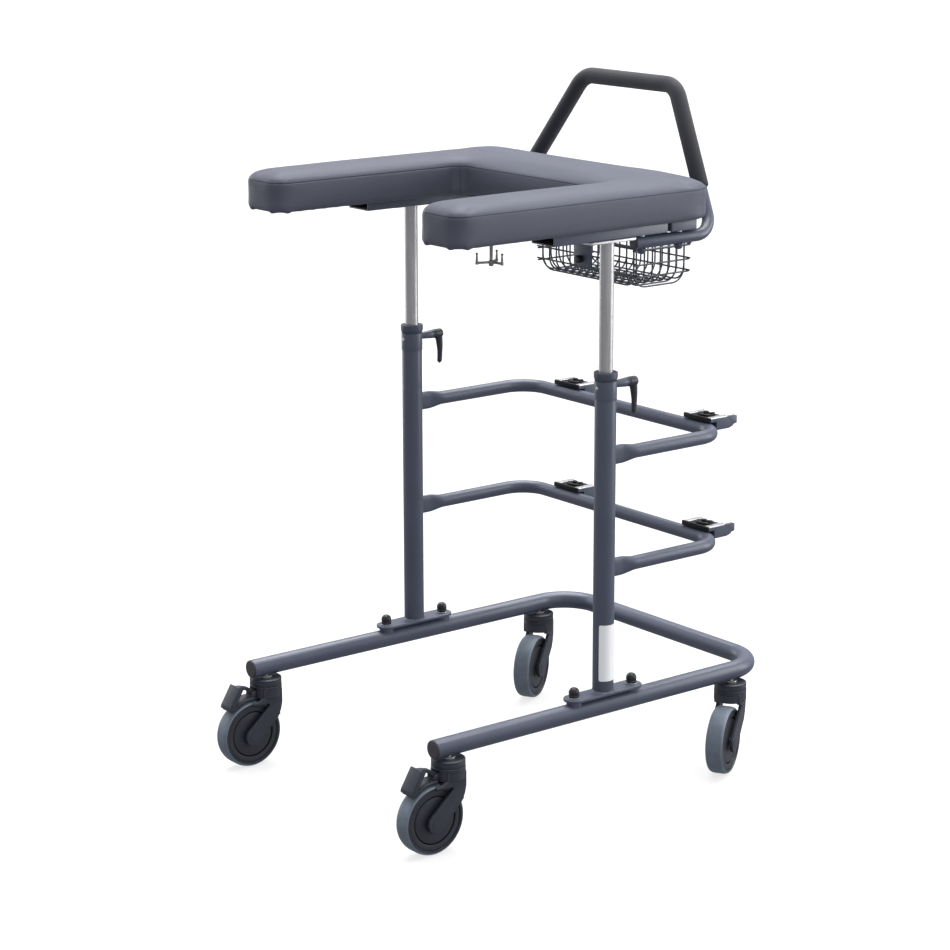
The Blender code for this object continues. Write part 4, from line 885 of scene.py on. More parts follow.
def build_levers():
    """Clamping lever: sleeve, rounded elbow and a tapered arm that hangs down, curved towards the post."""
    outline = [(0, BOSS_END_Y), (LEVER_HEAD_RADIUS - 0.0006, BOSS_END_Y)]
    outline += around(LEVER_HEAD_RADIUS, BOSS_END_Y + 0.006, (-0.0004, 0), (-0.0010, 0.0004), (0, 0.0010))
    outline += arc(LEVER_HEAD_RADIUS, LEVER_END_Y - LEVER_DOME, LEVER_DOME)
    arm_path = []
    sections = []
    for t in (i / 16 for i in range(17)):
        arm_path.append((0, LEVER_ARM_Y + 0.0105 * t * (1.22 - t), -LEVER_ARM_LENGTH * t))
        wide = 0.0074 - 0.0020 * min(t * 1.6, 1.0) - 0.0008 * t
        deep = 0.0080 - 0.0024 * min(t * 1.6, 1.0) - 0.0009 * t
        end = math.sqrt(max(1 - max(0.0, (t - 0.93) / 0.075) ** 2, 0.05))
        sections.append([(u * deep * end, v * wide * end) for u, v in circle(1.0, 28)])
    for side, sign in SIDES:
        head = moved(lathe(outline, 48), turn(-90, "X"))
        arm = sweep(arm_path, sections, side=(0.0, 1.0, 0.0))
        shaft = rod((0, INNER_RADIUS + 0.0006, 0), (0, BOSS_END_Y + 0.001, 0), 0.0038)
        place = shift(sign * TRACK_HALF, 0, LEVER_Z)
        parts = [(united([head, arm]), LEVER), (shaft, STEEL_FLAT)]
        piece(f"lever_handle_{side}", parts, f"lever_{side}", "black_plastic", [f"clamp_lever_{side}"], place)


# Guard bars and couplers

def guard_section(t, sides=40):
    """Upright and flattened at the welded end, round after the flare."""
    ease = t * t * (3 - 2 * t)
    tall = GUARD_FLAT_HALF_HEIGHT * (1 - ease) + GUARD_RADIUS * ease
    wide = GUARD_FLAT_HALF_WIDTH * (1 - ease) + GUARD_RADIUS * ease
    squareness = 2.0 + 1.2 * (1 - ease)
    section = []
    for u, v in circle(1.0, sides):
        norm = (abs(u) ** squareness + abs(v) ** squareness) ** (1 / squareness)
        section.append((u / norm * tall, v / norm * wide))
    return section


def build_guard_bars():
    """Bent tube with flattened ends, and a weld bead round each end."""
    weld = POST_RADIUS - 0.0014
    flare = [i / 10 for i in range(11)]
    bead = [(u * 1.06 + 0.0001, v * 1.30) for u, v in guard_section(0.0)]
    beads = [bead] + [[(u * low, v * thin) for u, v in bead] for low, thin in ((1.0, 0.93), (0.96, 0.80))]
    bead_path = [(0, weld + y, 0) for y in (-0.0002, 0.0016, 0.0028)]
    for row in ROWS:
        height = middle(f"guard_bar_{row}").z
        corners = mirrored([(TRACK_HALF, weld, height), (TRACK_HALF, GUARD_FRONT_Y, height)])
        bend = filleted(corners, GUARD_BEND, 20)
        start = [(TRACK_HALF, weld + GUARD_FLAT_LENGTH + GUARD_FLARE_LENGTH * t, height) for t in flare]
        end = [(-x, y, z) for x, y, z in reversed(start)]
        points = [bend[0]] + start + bend[1:-1] + end + [bend[-1]]
        where = [0.0] + flare + [1.0] * (len(bend) - 2) + flare[::-1] + [0.0]
        parts = [(sweep(points, [guard_section(t) for t in where]), PAINT)]
        for _, sign in SIDES:
            parts.append((moved(sweep(bead_path, beads), shift(sign * TRACK_HALF, 0, height)), PAINT))
        piece(f"guard_rail_{row}", parts, "frame", "frame_paint", [f"guard_bar_{row}"])


def coupler_places():
    for row in ROWS:
        bar_z = middle(f"guard_bar_{row}").z
        for side, _ in SIDES:
            yield f"{row}_{side}", (middle(f"coupler_{row}_{side}") - CENTRE).x, bar_z


def build_couplers():
    """Painted bracket with two aluminium lands, a black stop strip and two red-tipped pins."""
    half = COUPLER_HALF_WIDTH
    front = COUPLER_FRONT_Y
    behind_bar = GUARD_FRONT_Y + GUARD_RADIUS + 0.0002
    strip_y = COUPLER_REAR_Y + STRIP_DEPTH
    floor = COUPLER_TOP - LAND_RISE
    under = COUPLER_TOP - STRIP_HEIGHT - 0.001
    low = COUPLER_TOP - COUPLER_DEPTH
    deck = COUPLER_TOP - 0.010
    shared = [(strip_y, floor), (strip_y, under), (behind_bar, under), (behind_bar, low)]
    shared += around(front, low, (-0.020, 0), (-0.010, 0.003), (-0.008, 0.006), (0, 0.0075))
    cheek = shared + around(front, COUPLER_TOP, (0, -0.0030), (-0.002, -0.0015))
    cheek += [(LAND_END_Y, COUPLER_TOP - 0.0015), (LAND_END_Y, floor)]
    cheek = softened(cheek, 0.0008, 3, closed=True)
    profile = shared + around(front, deck, (0, -0.001), (-0.001, 0))
    profile += [(LAND_END_Y + 0.002, deck), (LAND_END_Y + 0.002, floor)]
    profile = softened(profile, 0.0008, 3, closed=True)
    land = rectangle(LAND_WIDTH / 2, (LAND_END_Y - strip_y) / 2, 0.0004, 2)
    for name, x, z in coupler_places():
        parts = [(extrude(profile, -half, half - COUPLER_CHEEK, "X"), PAINT, 0.0005)]
        parts.append((extrude(cheek, half - COUPLER_CHEEK - 0.0005, half, "X"), PAINT, 0.0005))
        strip = block((-half, half), (COUPLER_REAR_Y, strip_y), (under, COUPLER_TOP + 0.0005))
        parts.append((strip, KNOB, 0.0004))
        inner = half - LAND_WIDTH
        recess = block((-inner, inner), (strip_y, LAND_END_Y), (floor - 0.001, floor + 0.0002))
        parts.append((recess, KNOB, 0.0001))
        for sign in (1.0, -1.0):
            centre_x = sign * (half - LAND_WIDTH / 2)
            land_place = shift(centre_x, (LAND_END_Y + strip_y) / 2)
            parts.append((moved(extrude(land, floor - 0.001, COUPLER_TOP), land_place), ALUMINIUM, 0.0004))
            pin_place = shift(centre_x, LAND_END_Y - 0.0002, COUPLER_TOP - 0.0009)
            parts.append((moved(dome(0.0019, 0.0006, 0.0009, 4, 20), turn(-90, "X"), pin_place), RED))
        piece(f"bracket_{name}", parts, "frame", "frame_paint", [f"coupler_{name}"], shift(x, 0, z))


def build_coupler_knobs():
    """Oval turn-knob with a hub and a finger tab."""
    low = 0.0004
    rings = []
    for scale, rise in ((0.97, 0), (1.0, 0.0005), (1.0, 0.0021), (0.965, 0.0030), (0.90, 0.0035)):
        long, wide = KNOB_HALF_LENGTH * scale, KNOB_HALF_WIDTH * scale
        rings.append([(long * u, wide * v, low + rise) for u, v in circle(1.0, 56)])
    hub = around(0, low, (0, 0), (0.0060, 0), (0.0052, 0.0066), (0.0042, 0.0074), (0, 0.0074))
    knob_y = (COUPLER_REAR_Y + STRIP_DEPTH + LAND_END_Y) / 2
    for name, x, z in coupler_places():
        tab = extrude(rectangle(0.0034, 0.0050, 0.0032, 6), low, low + 0.0068)
        web = extrude(rectangle(0.0085, 0.0022, 0.0020, 4), low, low + 0.0050)
        parts = [(skin(rings), KNOB), (lathe(hub, 32, soft=0.0008), KNOB)]
        parts.append((moved(tab, shift(0.0138, 0.0025)), KNOB, 0.0009))
        parts.append((moved(web, shift(0.0070, 0.0015)), KNOB, 0.0006))
        parts.append((rod((0, 0, -STRIP_HEIGHT), (0, 0, low + 0.001), 0.0048), KNOB))
        node = f"coupler_knob_{name}"
        place = shift(x, knob_y, z + COUPLER_TOP - LAND_RISE)
        piece(f"turn_knob_{name}", parts, node, "black_plastic", [node], place)


# Casters

def caster_places():
    for side, _ in SIDES:
        for row, degrees in (("rear", 0.0), ("front", FRONT_TURN)):
            where = middle(f"caster_head_{row}_{side}") - CENTRE
            yield f"{row}_{side}", shift(where.x, where.y) @ turn(degrees, "Z")


def build_heads():
    """Fixed head with its dust lip, and the bright washer under the tube."""
    seat = BASE_Z - BASE_RADIUS - 0.0001
    outline = band(0, 0.006, HEAD_LOW - 0.010, HEAD_LOW)[:3] + [(HEAD_RADIUS - 0.0004, HEAD_LOW)]
    outline += around(HEAD_RADIUS, HEAD_TOP, (-0.0004, -0.0052), (-0.0012, -0.0048), (-0.0012, -0.0042))
    outline += around(HEAD_RADIUS, HEAD_TOP, (-0.0002, -0.0038), (-0.0006, -0.0014), (-0.0030, -0.0002))
    outline += [(0.0135, HEAD_TOP), (0, HEAD_TOP)]
    for name, place in caster_places():
        washer = lathe(band(0, 0.0125, HEAD_TOP - 0.0002, seat), 40, soft=0.0003)
        stem = rod((0, 0, seat - 0.001), (0, 0, BASE_Z - 0.004), 0.0058)
        parts = [(lathe(outline, 72, soft=0.0007), CASTER), (washer, STEEL_FLAT), (stem, STEEL_FLAT)]
        node = f"caster_head_{name}"
        piece(f"swivel_head_{name}", parts, "frame", "caster_plastic", [node], place)


def fork_arm_outline(braked):
    """Side of a fork arm: hood, leading edge, strut and round end, with a cheek beside a brake's shoe."""
    top = HOOD_TOP - 0.0060
    points = [(0.0205, top), (0.0205, 0.1165), (0.0175, 0.1030), (0.0120, 0.0900)]
    overrun = 0.003
    for i in range(13):
        angle = -math.pi / 4 - math.pi * i / 12
        y = -TRAIL - overrun + ARM_END_RADIUS * math.cos(angle)
        points.append((y, WHEEL_RADIUS - overrun + ARM_END_RADIUS * math.sin(angle)))
    if braked:
        points += [(-0.0035, 0.1180), (-0.0175, 0.1187), (-0.0360, 0.1193), (-0.0440, 0.1212)]
        points += [(-0.0420, 0.1240), (-0.0300, 0.1262), (-0.0205, 0.1310), (-0.0195, top)]
    else:
        points += [(-0.0035, 0.1220), (-0.0195, 0.1257), (-0.0195, top)]
    return softened(points, 0.0030, 5, closed=True)


def hood_filling():
    """Solid between the arms of a braked fork, from its hood down to the tyre."""
    clear = WHEEL_RADIUS + 0.0020
    outline = [(0.0185, HOOD_LOW + 0.002), (-0.0125, HOOD_LOW + 0.002)]
    for i in range(9):
        y = -0.0125 + 0.031 * i / 8
        outline.append((y, WHEEL_RADIUS + math.sqrt(clear ** 2 - (y + TRAIL) ** 2)))
    return extrude(outline, -ARM_INNER - 0.001, ARM_INNER + 0.001, "X")


def build_forks():
    """Swivelling fork: grooved hood, two arms with their axle bosses, and the axle."""
    groove = 0.0006
    hood = [(HOOD_BORE, HOOD_LOW), (HEAD_RADIUS - 0.0012, HOOD_LOW), (HEAD_RADIUS, HOOD_LOW + 0.0014)]
    for z in (HOOD_TOP - 0.0072, HOOD_TOP - 0.0038):
        hood += around(HEAD_RADIUS, z, (0, -groove), (-0.0007, 0), (0, groove))
    hood += around(HEAD_RADIUS, HOOD_TOP, (0, -0.0008), (-0.0010, 0)) + [(HOOD_BORE, HOOD_TOP)]
    cover_y, cover_z = -TRAIL - 0.002, WHEEL_RADIUS - 0.002
    for name, place in caster_places():
        braked = name.startswith("rear")
        shapes = [lathe(hood, 80, ring=True)]
        for sign in (1.0, -1.0):
            arm = extrude(fork_arm_outline(braked), *reach_of(sign, ARM_INNER, ARM_OUTER), "X")
            shapes.append(unpacked(shape_object(arm, bevel=0.0011)))
            boss = reach_of(sign, TYRE_HALF - 0.0008, ARM_INNER + 0.001)
            shapes.append(cross_rod(boss, -TRAIL, WHEEL_RADIUS, 0.0085, 40))
            cover = reach_of(sign, ARM_OUTER - 0.001, ARM_OUTER + 0.0005)
            shapes.append(cross_rod(cover, cover_y, cover_z, 0.0092, 48))
        cutters = []
        if braked:
            shapes.append(hood_filling())
            pedal_slot = block((-0.0115, 0.0115), (-0.06, -0.0130), (0.118, 0.1475))
            cutters.append(pedal_slot)
        axle = cross_rod((-ARM_INNER, ARM_INNER), -TRAIL, WHEEL_RADIUS, 0.004)
        parts = [(united(shapes, cutters=cutters), CASTER), (axle, STEEL_FLAT)]
        node = f"caster_fork_{name}"
        piece(f"swivel_fork_{name}", parts, f"caster_{name}", "caster_plastic", [node], place)


def build_wheels():
    """Wheel core with its ring and domed hub cover, and the tyre; painted shade in the hub groove and a
    painted highlight round each tyre shoulder.
    """
    face = TYRE_HALF - 0.0014
    side = around(0, face, (0.0045, -0.0010), (0.0120, -0.0006), (0.0300, -0.0008))
    side += around(HUB_RADIUS, face, (-0.0013, -0.0014), (-0.0011, -0.0054), (0.0011, -0.0054))
    side += around(HUB_RADIUS, face, (0.0013, -0.0003), (0.0030, 0))
    side += around(RIM_RADIUS, face, (-0.0008, 0), (0, -0.0010))
    core = [(r, -z) for r, z in side] + side[::-1]
    tread = around(RIM_RADIUS, -TYRE_HALF, (0.0001, 0.0020), (0.0010, 0.0006), (0.0022, 0))
    tread += around(WHEEL_RADIUS, -TYRE_HALF, (-0.0036, 0.0002), (-0.0012, 0.0022))
    tread += around(WHEEL_RADIUS, -TYRE_HALF, (-0.0003, 0.0052), (0, 0.0095))
    tread += [(r, -z) for r, z in reversed(tread)]
    # a thin ring of lighter rubber at each shoulder: painted highlight
    edge = around(WHEEL_RADIUS, TYRE_HALF, (-0.0044, -0.0008), (-0.0039, 0.0003), (-0.0031, -0.0002))
    edge += around(WHEEL_RADIUS, TYRE_HALF, (-0.0026, -0.0012))
    # a near-black ring in the bottom of the hub groove: painted shade
    groove = band(HUB_RADIUS - 0.0013, HUB_RADIUS + 0.0013, face - 0.0060, face - 0.0028)
    lip = around(RIM_RADIUS, TYRE_HALF, (0.0001, -0.0030), (0.0001, -0.0010), (0.0010, 0.0003))
    lip += around(RIM_RADIUS, TYRE_HALF, (0.0042, 0.0003), (0.0047, -0.0010), (0.0047, -0.0030))
    kinds = (
        ("wheel_core", "hub", softened(core, 0.0006, 3, True), WHEEL, [(groove, GROOVE_SHADE)]),
        ("tyre", "tread", softened(tread, 0.0020, 4, True), TYRE, [(edge, TYRE_HIGHLIGHT), (lip, WHEEL)]),
    )
    for name, place in caster_places():
        axle = place @ shift(0, -TRAIL, WHEEL_RADIUS) @ turn(90, "Y")
        for node, new_name, outline, material, rings in kinds:
            parts = [(lathe(outline, 112, ring=True), material)]
            for ring, ring_material in rings:
                for sign in (1.0, -1.0):
                    parts.append((lathe([(r, sign * z) for r, z in ring], 112, ring=True), ring_material))
            piece(f"{new_name}_{name}", parts, f"wheel_{name}", node, [f"{node}_{name}"], axle)


def shoe_outline():
    """Curved brake shoe, concentric with the wheel."""
    points = []
    for radius, start, end in ((SHOE_RADIUS, 84, 132), (SHOE_RADIUS + SHOE_THICKNESS, 132, 84)):
        for i in range(17):
            angle = math.radians(start + (end - start) * i / 16)
            points.append((-TRAIL + radius * math.cos(angle), WHEEL_RADIUS + radius * math.sin(angle)))
    return points


def build_pedals():
    """Brake pedal: foot block, the arch to its pivot, and the shoe over the tyre."""
    along = (PEDAL_LIP - PEDAL_TOP).normalized()
    inward = Vector((-along.y, along.x)) * PEDAL_THICKNESS
    pad = [PEDAL_TOP, PEDAL_LIP - along * 0.006, PEDAL_LIP + inward * 0.15]
    pad += [PEDAL_LIP + inward * 0.5 + along * 0.001, PEDAL_LIP + inward * 0.88]
    pad += [PEDAL_LIP + inward - along * 0.0035, PEDAL_TOP + inward]
    pad = softened(pad, 0.0016, 4, closed=True)
    arch = [(-0.0690, 0.1580), (-0.0560, 0.1560), (-0.0430, 0.1525), (-0.0330, 0.1462), (-0.0190, 0.1435)]
    arch += [(-0.0140, 0.1400), (-0.0140, 0.1340), (-0.0370, 0.1345), (-0.0405, 0.1420), (-0.0480, 0.1480)]
    arch += [(-0.0600, 0.1505), (-0.0660, 0.1500)]
    arch = softened(arch, 0.0040, 5, closed=True)
    shoe_top = WHEEL_RADIUS + SHOE_RADIUS
    rib = [(-0.0145, 0.1420), (-0.0280, 0.1440), (-0.0370, 0.1400)]
    rib += [(-0.0390, shoe_top + 0.001), (-0.0250, shoe_top - 0.001), (-0.0165, 0.1300)]
    layers = ((pad, PEDAL_HALF), (arch, 0.0065), (shoe_outline(), PEDAL_HALF - 0.0005), (rib, 0.0105))
    for name, place in caster_places():
        if not name.startswith("rear"):
            continue
        pedal = united([extrude(outline, -half, half, "X") for outline, half in layers], bevel=0.0007)
        pin = cross_rod((-0.019, 0.019), PEDAL_PIVOT.x, PEDAL_PIVOT.y, 0.0025)
        side = name.removeprefix("rear_")
        parts = [(pedal, CASTER), (pin, STEEL_FLAT)]
        piece(f"foot_pedal_{side}", parts, f"pedal_{side}", "caster_plastic", [f"brake_pedal_{side}"], place)


# Carriage

def build_inner_tubes():
    """Bright tube, its head plate with the weld below it, and the plate's two screws."""
    under = HEAD_PLATE_TOP - HEAD_PLATE_THICKNESS
    outline = band(INNER_RADIUS - INNER_WALL, INNER_RADIUS, INNER_LOW, under + 0.001)
    plate = rectangle(HEAD_PLATE_HALF_X, HEAD_PLATE_HALF_Y, 0.006)
    for side, sign in SIDES:
        bead = moved(weld_ring(INNER_RADIUS, 0.0, 0.0018), turn(180, "X"), shift(z=under))
        parts = [(lathe(outline, 72, ring=True), STEEL)]
        parts += [(extrude(plate, under, HEAD_PLATE_TOP), STEEL_FLAT, 0.0006), (bead, STEEL_FLAT)]
        for y in (-HEAD_SCREW_Y, HEAD_SCREW_Y):
            screw = moved(dome(0.0045, 0.0004, 0.0020, 5, 28), turn(180, "X"), shift(0, y, under))
            parts.append((screw, STEEL_FLAT))
        place = shift(x=sign * TRACK_HALF)
        piece(f"telescopic_tube_{side}", parts, "carriage", "bright_steel", [f"inner_tube_{side}"], place)


def build_rails():
    """Channel under each arm, and the closed cross channel between them."""
    outline = channel(RAIL_HALF, RAIL_HIGH - RAIL_LOW, RAIL_WALL, 0.0016, 4)
    for side, sign in SIDES:
        parts = [(extrude(outline, RAIL_REAR_Y, RAIL_FRONT_Y, "Y"), PAINT, 0.0003)]
        place = shift(sign * RAIL_X, 0, RAIL_LOW)
        piece(f"side_channel_{side}", parts, "carriage", "frame_paint", [f"rail_{side}"], place)
    wide = RAIL_X + RAIL_HALF
    deep = (CROSS_FRONT_Y - CROSS_REAR_Y) / 2
    outer = extrude(rectangle(wide, deep, 0.0022), RAIL_LOW, RAIL_HIGH)
    inner = rectangle(wide - RAIL_WALL, deep - RAIL_WALL, 0.0010)
    hollow = extrude(inner, RAIL_LOW + RAIL_WALL, RAIL_HIGH + 0.01)
    cross = united([unpacked(shape_object(outer, bevel=0.0012))], cutters=[hollow])
    place = shift(y=(CROSS_FRONT_Y + CROSS_REAR_Y) / 2)
    piece("front_channel", [(cross, PAINT)], "carriage", "frame_paint", ["cross_channel"], place)


# Arm pad

def pad_outline(inset, steps=12):
    """Outline of the U, moved inwards by the inset."""
    corners = [
        (PAD_OUTER_X, PAD_END_Y, PAD_END_RADIUS, -1, 1),
        (PAD_OUTER_X, PAD_FRONT_Y, PAD_FRONT_RADIUS, -1, -1),
        (-PAD_OUTER_X, PAD_FRONT_Y, PAD_FRONT_RADIUS, 1, -1),
        (-PAD_OUTER_X, PAD_END_Y, PAD_END_RADIUS, 1, 1),
        (-PAD_INNER_X, PAD_END_Y, PAD_END_RADIUS, -1, 1),
        (-PAD_INNER_X, PAD_INNER_Y, -PAD_INNER_RADIUS, -1, 1),
        (PAD_INNER_X, PAD_INNER_Y, -PAD_INNER_RADIUS, 1, 1),
        (PAD_INNER_X, PAD_END_Y, PAD_END_RADIUS, 1, 1),
    ]
    flat = [Vector((x + sx * inset, y + sy * inset)) for x, y, _, sx, sy in corners]
    points = []
    for i, (_, _, radius, _, _) in enumerate(corners):
        corner = flat[i]
        back = (flat[i - 1] - corner).normalized()
        ahead = (flat[(i + 1) % len(flat)] - corner).normalized()
        size = max(radius - inset, PAD_LEAST_RADIUS) if radius > 0 else inset - radius
        centre = corner + (back + ahead) * size
        for k in range(steps + 1):
            angle = math.pi / 2 * k / steps
            points.append(tuple(centre - ahead * size * math.cos(angle) - back * size * math.sin(angle)))
    return points


def pad_start():
    """The cushion before it is blown up: a plain U a little smaller than the finished one."""
    rise = PAD_TOP - PAD_SEAM
    levels = [
        (0.012, PAD_BOTTOM), (0.0045, PAD_BOTTOM + 0.0010), (0.0020, PAD_BOTTOM + 0.0060),
        (PAD_SHRINK * 0.8, PAD_BOTTOM + 0.020), (PAD_SHRINK * 0.8, PAD_SEAM - 0.010), (0.0024, PAD_SEAM),
        (0.0070, PAD_SEAM + rise * 0.42), (0.0160, PAD_SEAM + rise * 0.78),
        (0.0290, PAD_SEAM + rise * 1.05), (0.0460, PAD_SEAM + rise * 1.16),
    ]
    return skin([[(x, y, z) for x, y in pad_outline(inset)] for inset, z in levels])


def weight_of(z):
    """How firmly a point of the cushion is held: at the hem by its staples, and along the seam."""
    if z < PAD_BOTTOM + 0.0035:
        return 1.0
    return 0.97 if abs(z - PAD_SEAM) < 0.0026 else 0.0


def inflate(obj, pressure=4.0, frames=20, reach=0.0065):
    """Blows the cushion up as cloth, and keeps each point within reach of where it began."""
    group = obj.vertex_groups.new(name="held")
    for vertex in obj.data.vertices:
        weight = weight_of(vertex.co.z - CENTRE.z)
        if weight:
            group.add([vertex.index], weight, "REPLACE")
    start = [vertex.co.copy() for vertex in obj.data.vertices]
    cloth = obj.modifiers.new("cloth", "CLOTH")
    settings = cloth.settings
    settings.vertex_group_mass = "held"
    settings.use_pressure = True
    settings.uniform_pressure_force = pressure
    settings.effector_weights.gravity = 0.0
    settings.quality = 5
    settings.tension_stiffness = 12.0
    settings.compression_stiffness = 12.0
    settings.bending_stiffness = 1.2
    cloth.collision_settings.use_collision = False
    cloth.point_cache.frame_start = 1
    cloth.point_cache.frame_end = frames
    scene = bpy.context.scene
    for number in range(1, frames + 1):
        scene.frame_set(number)
    baked(obj)
    scene.frame_set(1)
    for vertex, before in zip(obj.data.vertices, start):
        move = vertex.co - before
        if move.length > reach:
            vertex.co = before + move * (reach / move.length)


def pressed_seam(shape):
    """Presses a narrow groove into the cushion along its top seam."""
    for height in (PAD_SEAM - SEAM_GROOVE, PAD_SEAM, PAD_SEAM + SEAM_GROOVE):
        geometry = shape.verts[:] + shape.edges[:] + shape.faces[:]
        bmesh.ops.bisect_plane(shape, geom=geometry, plane_co=(0, 0, height), plane_no=UP, dist=SEAM_GRIP)
    shape.normal_update()
    for vertex in shape.verts:
        if abs(vertex.co.z - PAD_SEAM) < SEAM_GRIP + 0.00001:
            flat = Vector((vertex.normal.x, vertex.normal.y, 0.0))
            if flat.length > 0.2:
                vertex.co -= flat.normalized() * SEAM_GROOVE


def hem_points(shape):
    """Flattens the underside, and draws the hem down at four tips round each arm end."""
    for vertex in shape.verts:
        z = vertex.co.z
        if z < PAD_BOTTOM + 0.0005:
            vertex.co.z = PAD_BOTTOM + max(z - PAD_BOTTOM, 0.0) * 0.5
        y = vertex.co.y - CENTRE.y
        if z < PAD_BOTTOM + HEM_HEIGHT and y < PAD_END_Y + ARM_END_LENGTH:
            x = abs(vertex.co.x - CENTRE.x)
            away = min(math.hypot(x - tip_x, y - tip_y) for tip_x, tip_y in HEM_TIPS)
            pull = HEM_PULL * max(0.0, 1.0 - away / HEM_REACH) ** 1.5
            vertex.co.z -= pull * (1.0 - (z - PAD_BOTTOM) / HEM_HEIGHT)


def build_cushion():
    """Arm pad: blown up as cloth from its start shape, then seam, hem and underside."""
    obj = shape_object(pad_start(), VINYL)
    obj.name = "arm_cushion"
    obj.data.name = "arm_cushion"
    obj.data.transform(Matrix.Translation(CENTRE))
    remesh = obj.modifiers.new("even", "REMESH")
    remesh.mode = "VOXEL"
    remesh.voxel_size = PAD_VOXEL
    baked(obj)
    inflate(obj)
    smooth = obj.modifiers.new("relax", "SMOOTH")
    smooth.factor = 0.5
    smooth.iterations = 3
    finer = obj.modifiers.new("finer", "SUBSURF")
    finer.levels = 1
    finer.render_levels = 1
    baked(obj)
    shape = bmesh.new()
    shape.from_mesh(obj.data)
    pressed_seam(shape)
    hem_points(shape)
    bmesh.ops.triangulate(shape, faces=[face for face in shape.faces if len(face.verts) > 4])
    shape.to_mesh(obj.data)
    shape.free()
    obj.data.shade_smooth()
    if VINYL.name not in obj.data.materials:
        obj.data.materials.append(VINYL)
    enrol(obj, "carriage", "vinyl", ["arm_pad"])


def build_board():
    """Underside of the board inside the hem, and the staples that hold the hem."""
    low = RAIL_HIGH + 0.0001
    parts = [(extrude(pad_outline(BOARD_INSET, 8), low, low + 0.003), BOARD)]
    hem = pad_outline(BOARD_INSET - 0.007, 8)
    length = 0.0
    for start, end in zip(hem, hem[1:] + hem[:1]):
        start, end = Vector((*start, low)), Vector((*end, low))
        run = (end - start).length
        across = (end - start).normalized() * STAPLE_HALF
        while length < run:
            at = start.lerp(end, length / run)
            crown = [at - across - UP * 0.0001, at + across - UP * 0.0001]
            ends = [at - across + UP * STAPLE_LEG, at + across + UP * STAPLE_LEG]
            wire = filleted([ends[0], *crown, ends[1]], 0.0006, 3)
            # the staples in the darker steel: painted shade under the pad
            parts.append((tube(wire, STAPLE_WIRE, 6, side=(end - start).cross(UP)), SHADED_STEEL))
            length += STAPLE_GAP
        length -= run
    piece("pad_underside", parts, "carriage", "board", ["pad_board"])


# Push handle

def build_handle():
    """Bent tube with a plug in each end."""
    corners = [(HANDLE_X, HANDLE_REAR_Y, HANDLE_Z), (HANDLE_X, HANDLE_BEND_Y, HANDLE_Z), tuple(HANDLE_TOP)]
    path = filleted(mirrored(corners), HANDLE_BEND, 20)
    parts = [(tube(path, HANDLE_RADIUS, 40, HANDLE_WALL), PAINT, 0.0003)]
    plug = [(0, -0.008), (0.0093, -0.008), (0.0093, 0)]
    plug += around(HANDLE_RADIUS, 0, (-0.0002, 0), (-0.0006, 0.0016), (-0.0030, 0.0024)) + [(0, 0.0026)]
    for _, sign in SIDES:
        place = shift(sign * HANDLE_X, HANDLE_REAR_Y - 0.0001, HANDLE_Z) @ turn(90, "X")
        parts.append((moved(lathe(plug, 36, soft=0.0006), place), PLUG))
    piece("push_handle", parts, "carriage", "frame_paint", ["handle_tube"])


def build_grip():
    """Foam sleeve over the top of the handle, a little drawn in at its ends."""
    share = (GRIP_END_Z - HANDLE_Z) / (HANDLE_TOP.z - HANDLE_Z)
    end = Vector((HANDLE_X, HANDLE_BEND_Y, HANDLE_Z)).lerp(HANDLE_TOP, share)
    sleeve = filleted(mirrored([tuple(end), tuple(HANDLE_TOP)]), HANDLE_BEND, 20)
    nearly = sleeve[0].lerp(sleeve[1], 0.010)
    sleeve = [sleeve[0], nearly] + sleeve[1:-1] + [Vector((-nearly.x, nearly.y, nearly.z)), sleeve[-1]]
    outer = [circle(GRIP_RADIUS, 40)] * len(sleeve)
    outer[0] = outer[-1] = circle(GRIP_RADIUS - 0.0012, 40)
    grip = sweep(sleeve, outer, bore=circle(HANDLE_RADIUS + 0.0001, 40))
    piece("foam_grip", [(grip, FOAM)], "carriage", "grip_foam", ["handle_grip"])


def build_handle_bolts():
    """Screw from the channel through a thin bright spacer and the tube, with a domed black nut below."""
    tube_top = HANDLE_Z + HANDLE_RADIUS
    tube_low = HANDLE_Z - HANDLE_RADIUS
    web = RAIL_LOW + RAIL_WALL
    nut = around(0, tube_low, (0, -0.0001), (0.0085, -0.0001), (0.0085, -0.0022), (0.0076, -0.0028))
    nut += arc(0.0076, tube_low - 0.0055, -0.0042, 10)
    spacer = band(0.0030, 0.0056, tube_top - 0.0004, tube_top + 0.0014)
    head = [(0, 0.0), (0.0064, 0.0), (0.0064, 0.0030)] + arc(0.0056, 0.0032, 0.0016, 5)
    for side, sign in SIDES:
        for end, y in HANDLE_BOLTS_Y:
            parts = [(lathe(nut, 36, soft=0.0004), BUSH)]
            parts.append((rod((0, 0, tube_low - 0.001), (0, 0, web + 0.001), 0.0030), STEEL_FLAT))
            parts.append((lathe(spacer, 32, ring=True, soft=0.0003), STEEL_FLAT))
            parts.append((moved(lathe(head, 32, soft=0.0003), shift(z=web + 0.0001)), STEEL_FLAT))
            node = f"handle_bolt_{end}_{side}"
            place = shift(sign * HANDLE_X, y)
            piece(node.replace("bolt", "screw"), parts, "carriage", "black_plastic", [node], place)


# Basket and bag hook

def spread(count, half):
    return [half * (2 * i / (count - 1) - 1) for i in range(count)]


def hung_wire(start, end, bottom):
    """Path of a bent wire: down from the rim at one place, across the bottom, and up to the other."""
    corners = [(*start, BASKET_RIM_Z), (*start, bottom), (*end, bottom), (*end, BASKET_RIM_Z)]
    return filleted(corners, BASKET_BEND, 8)


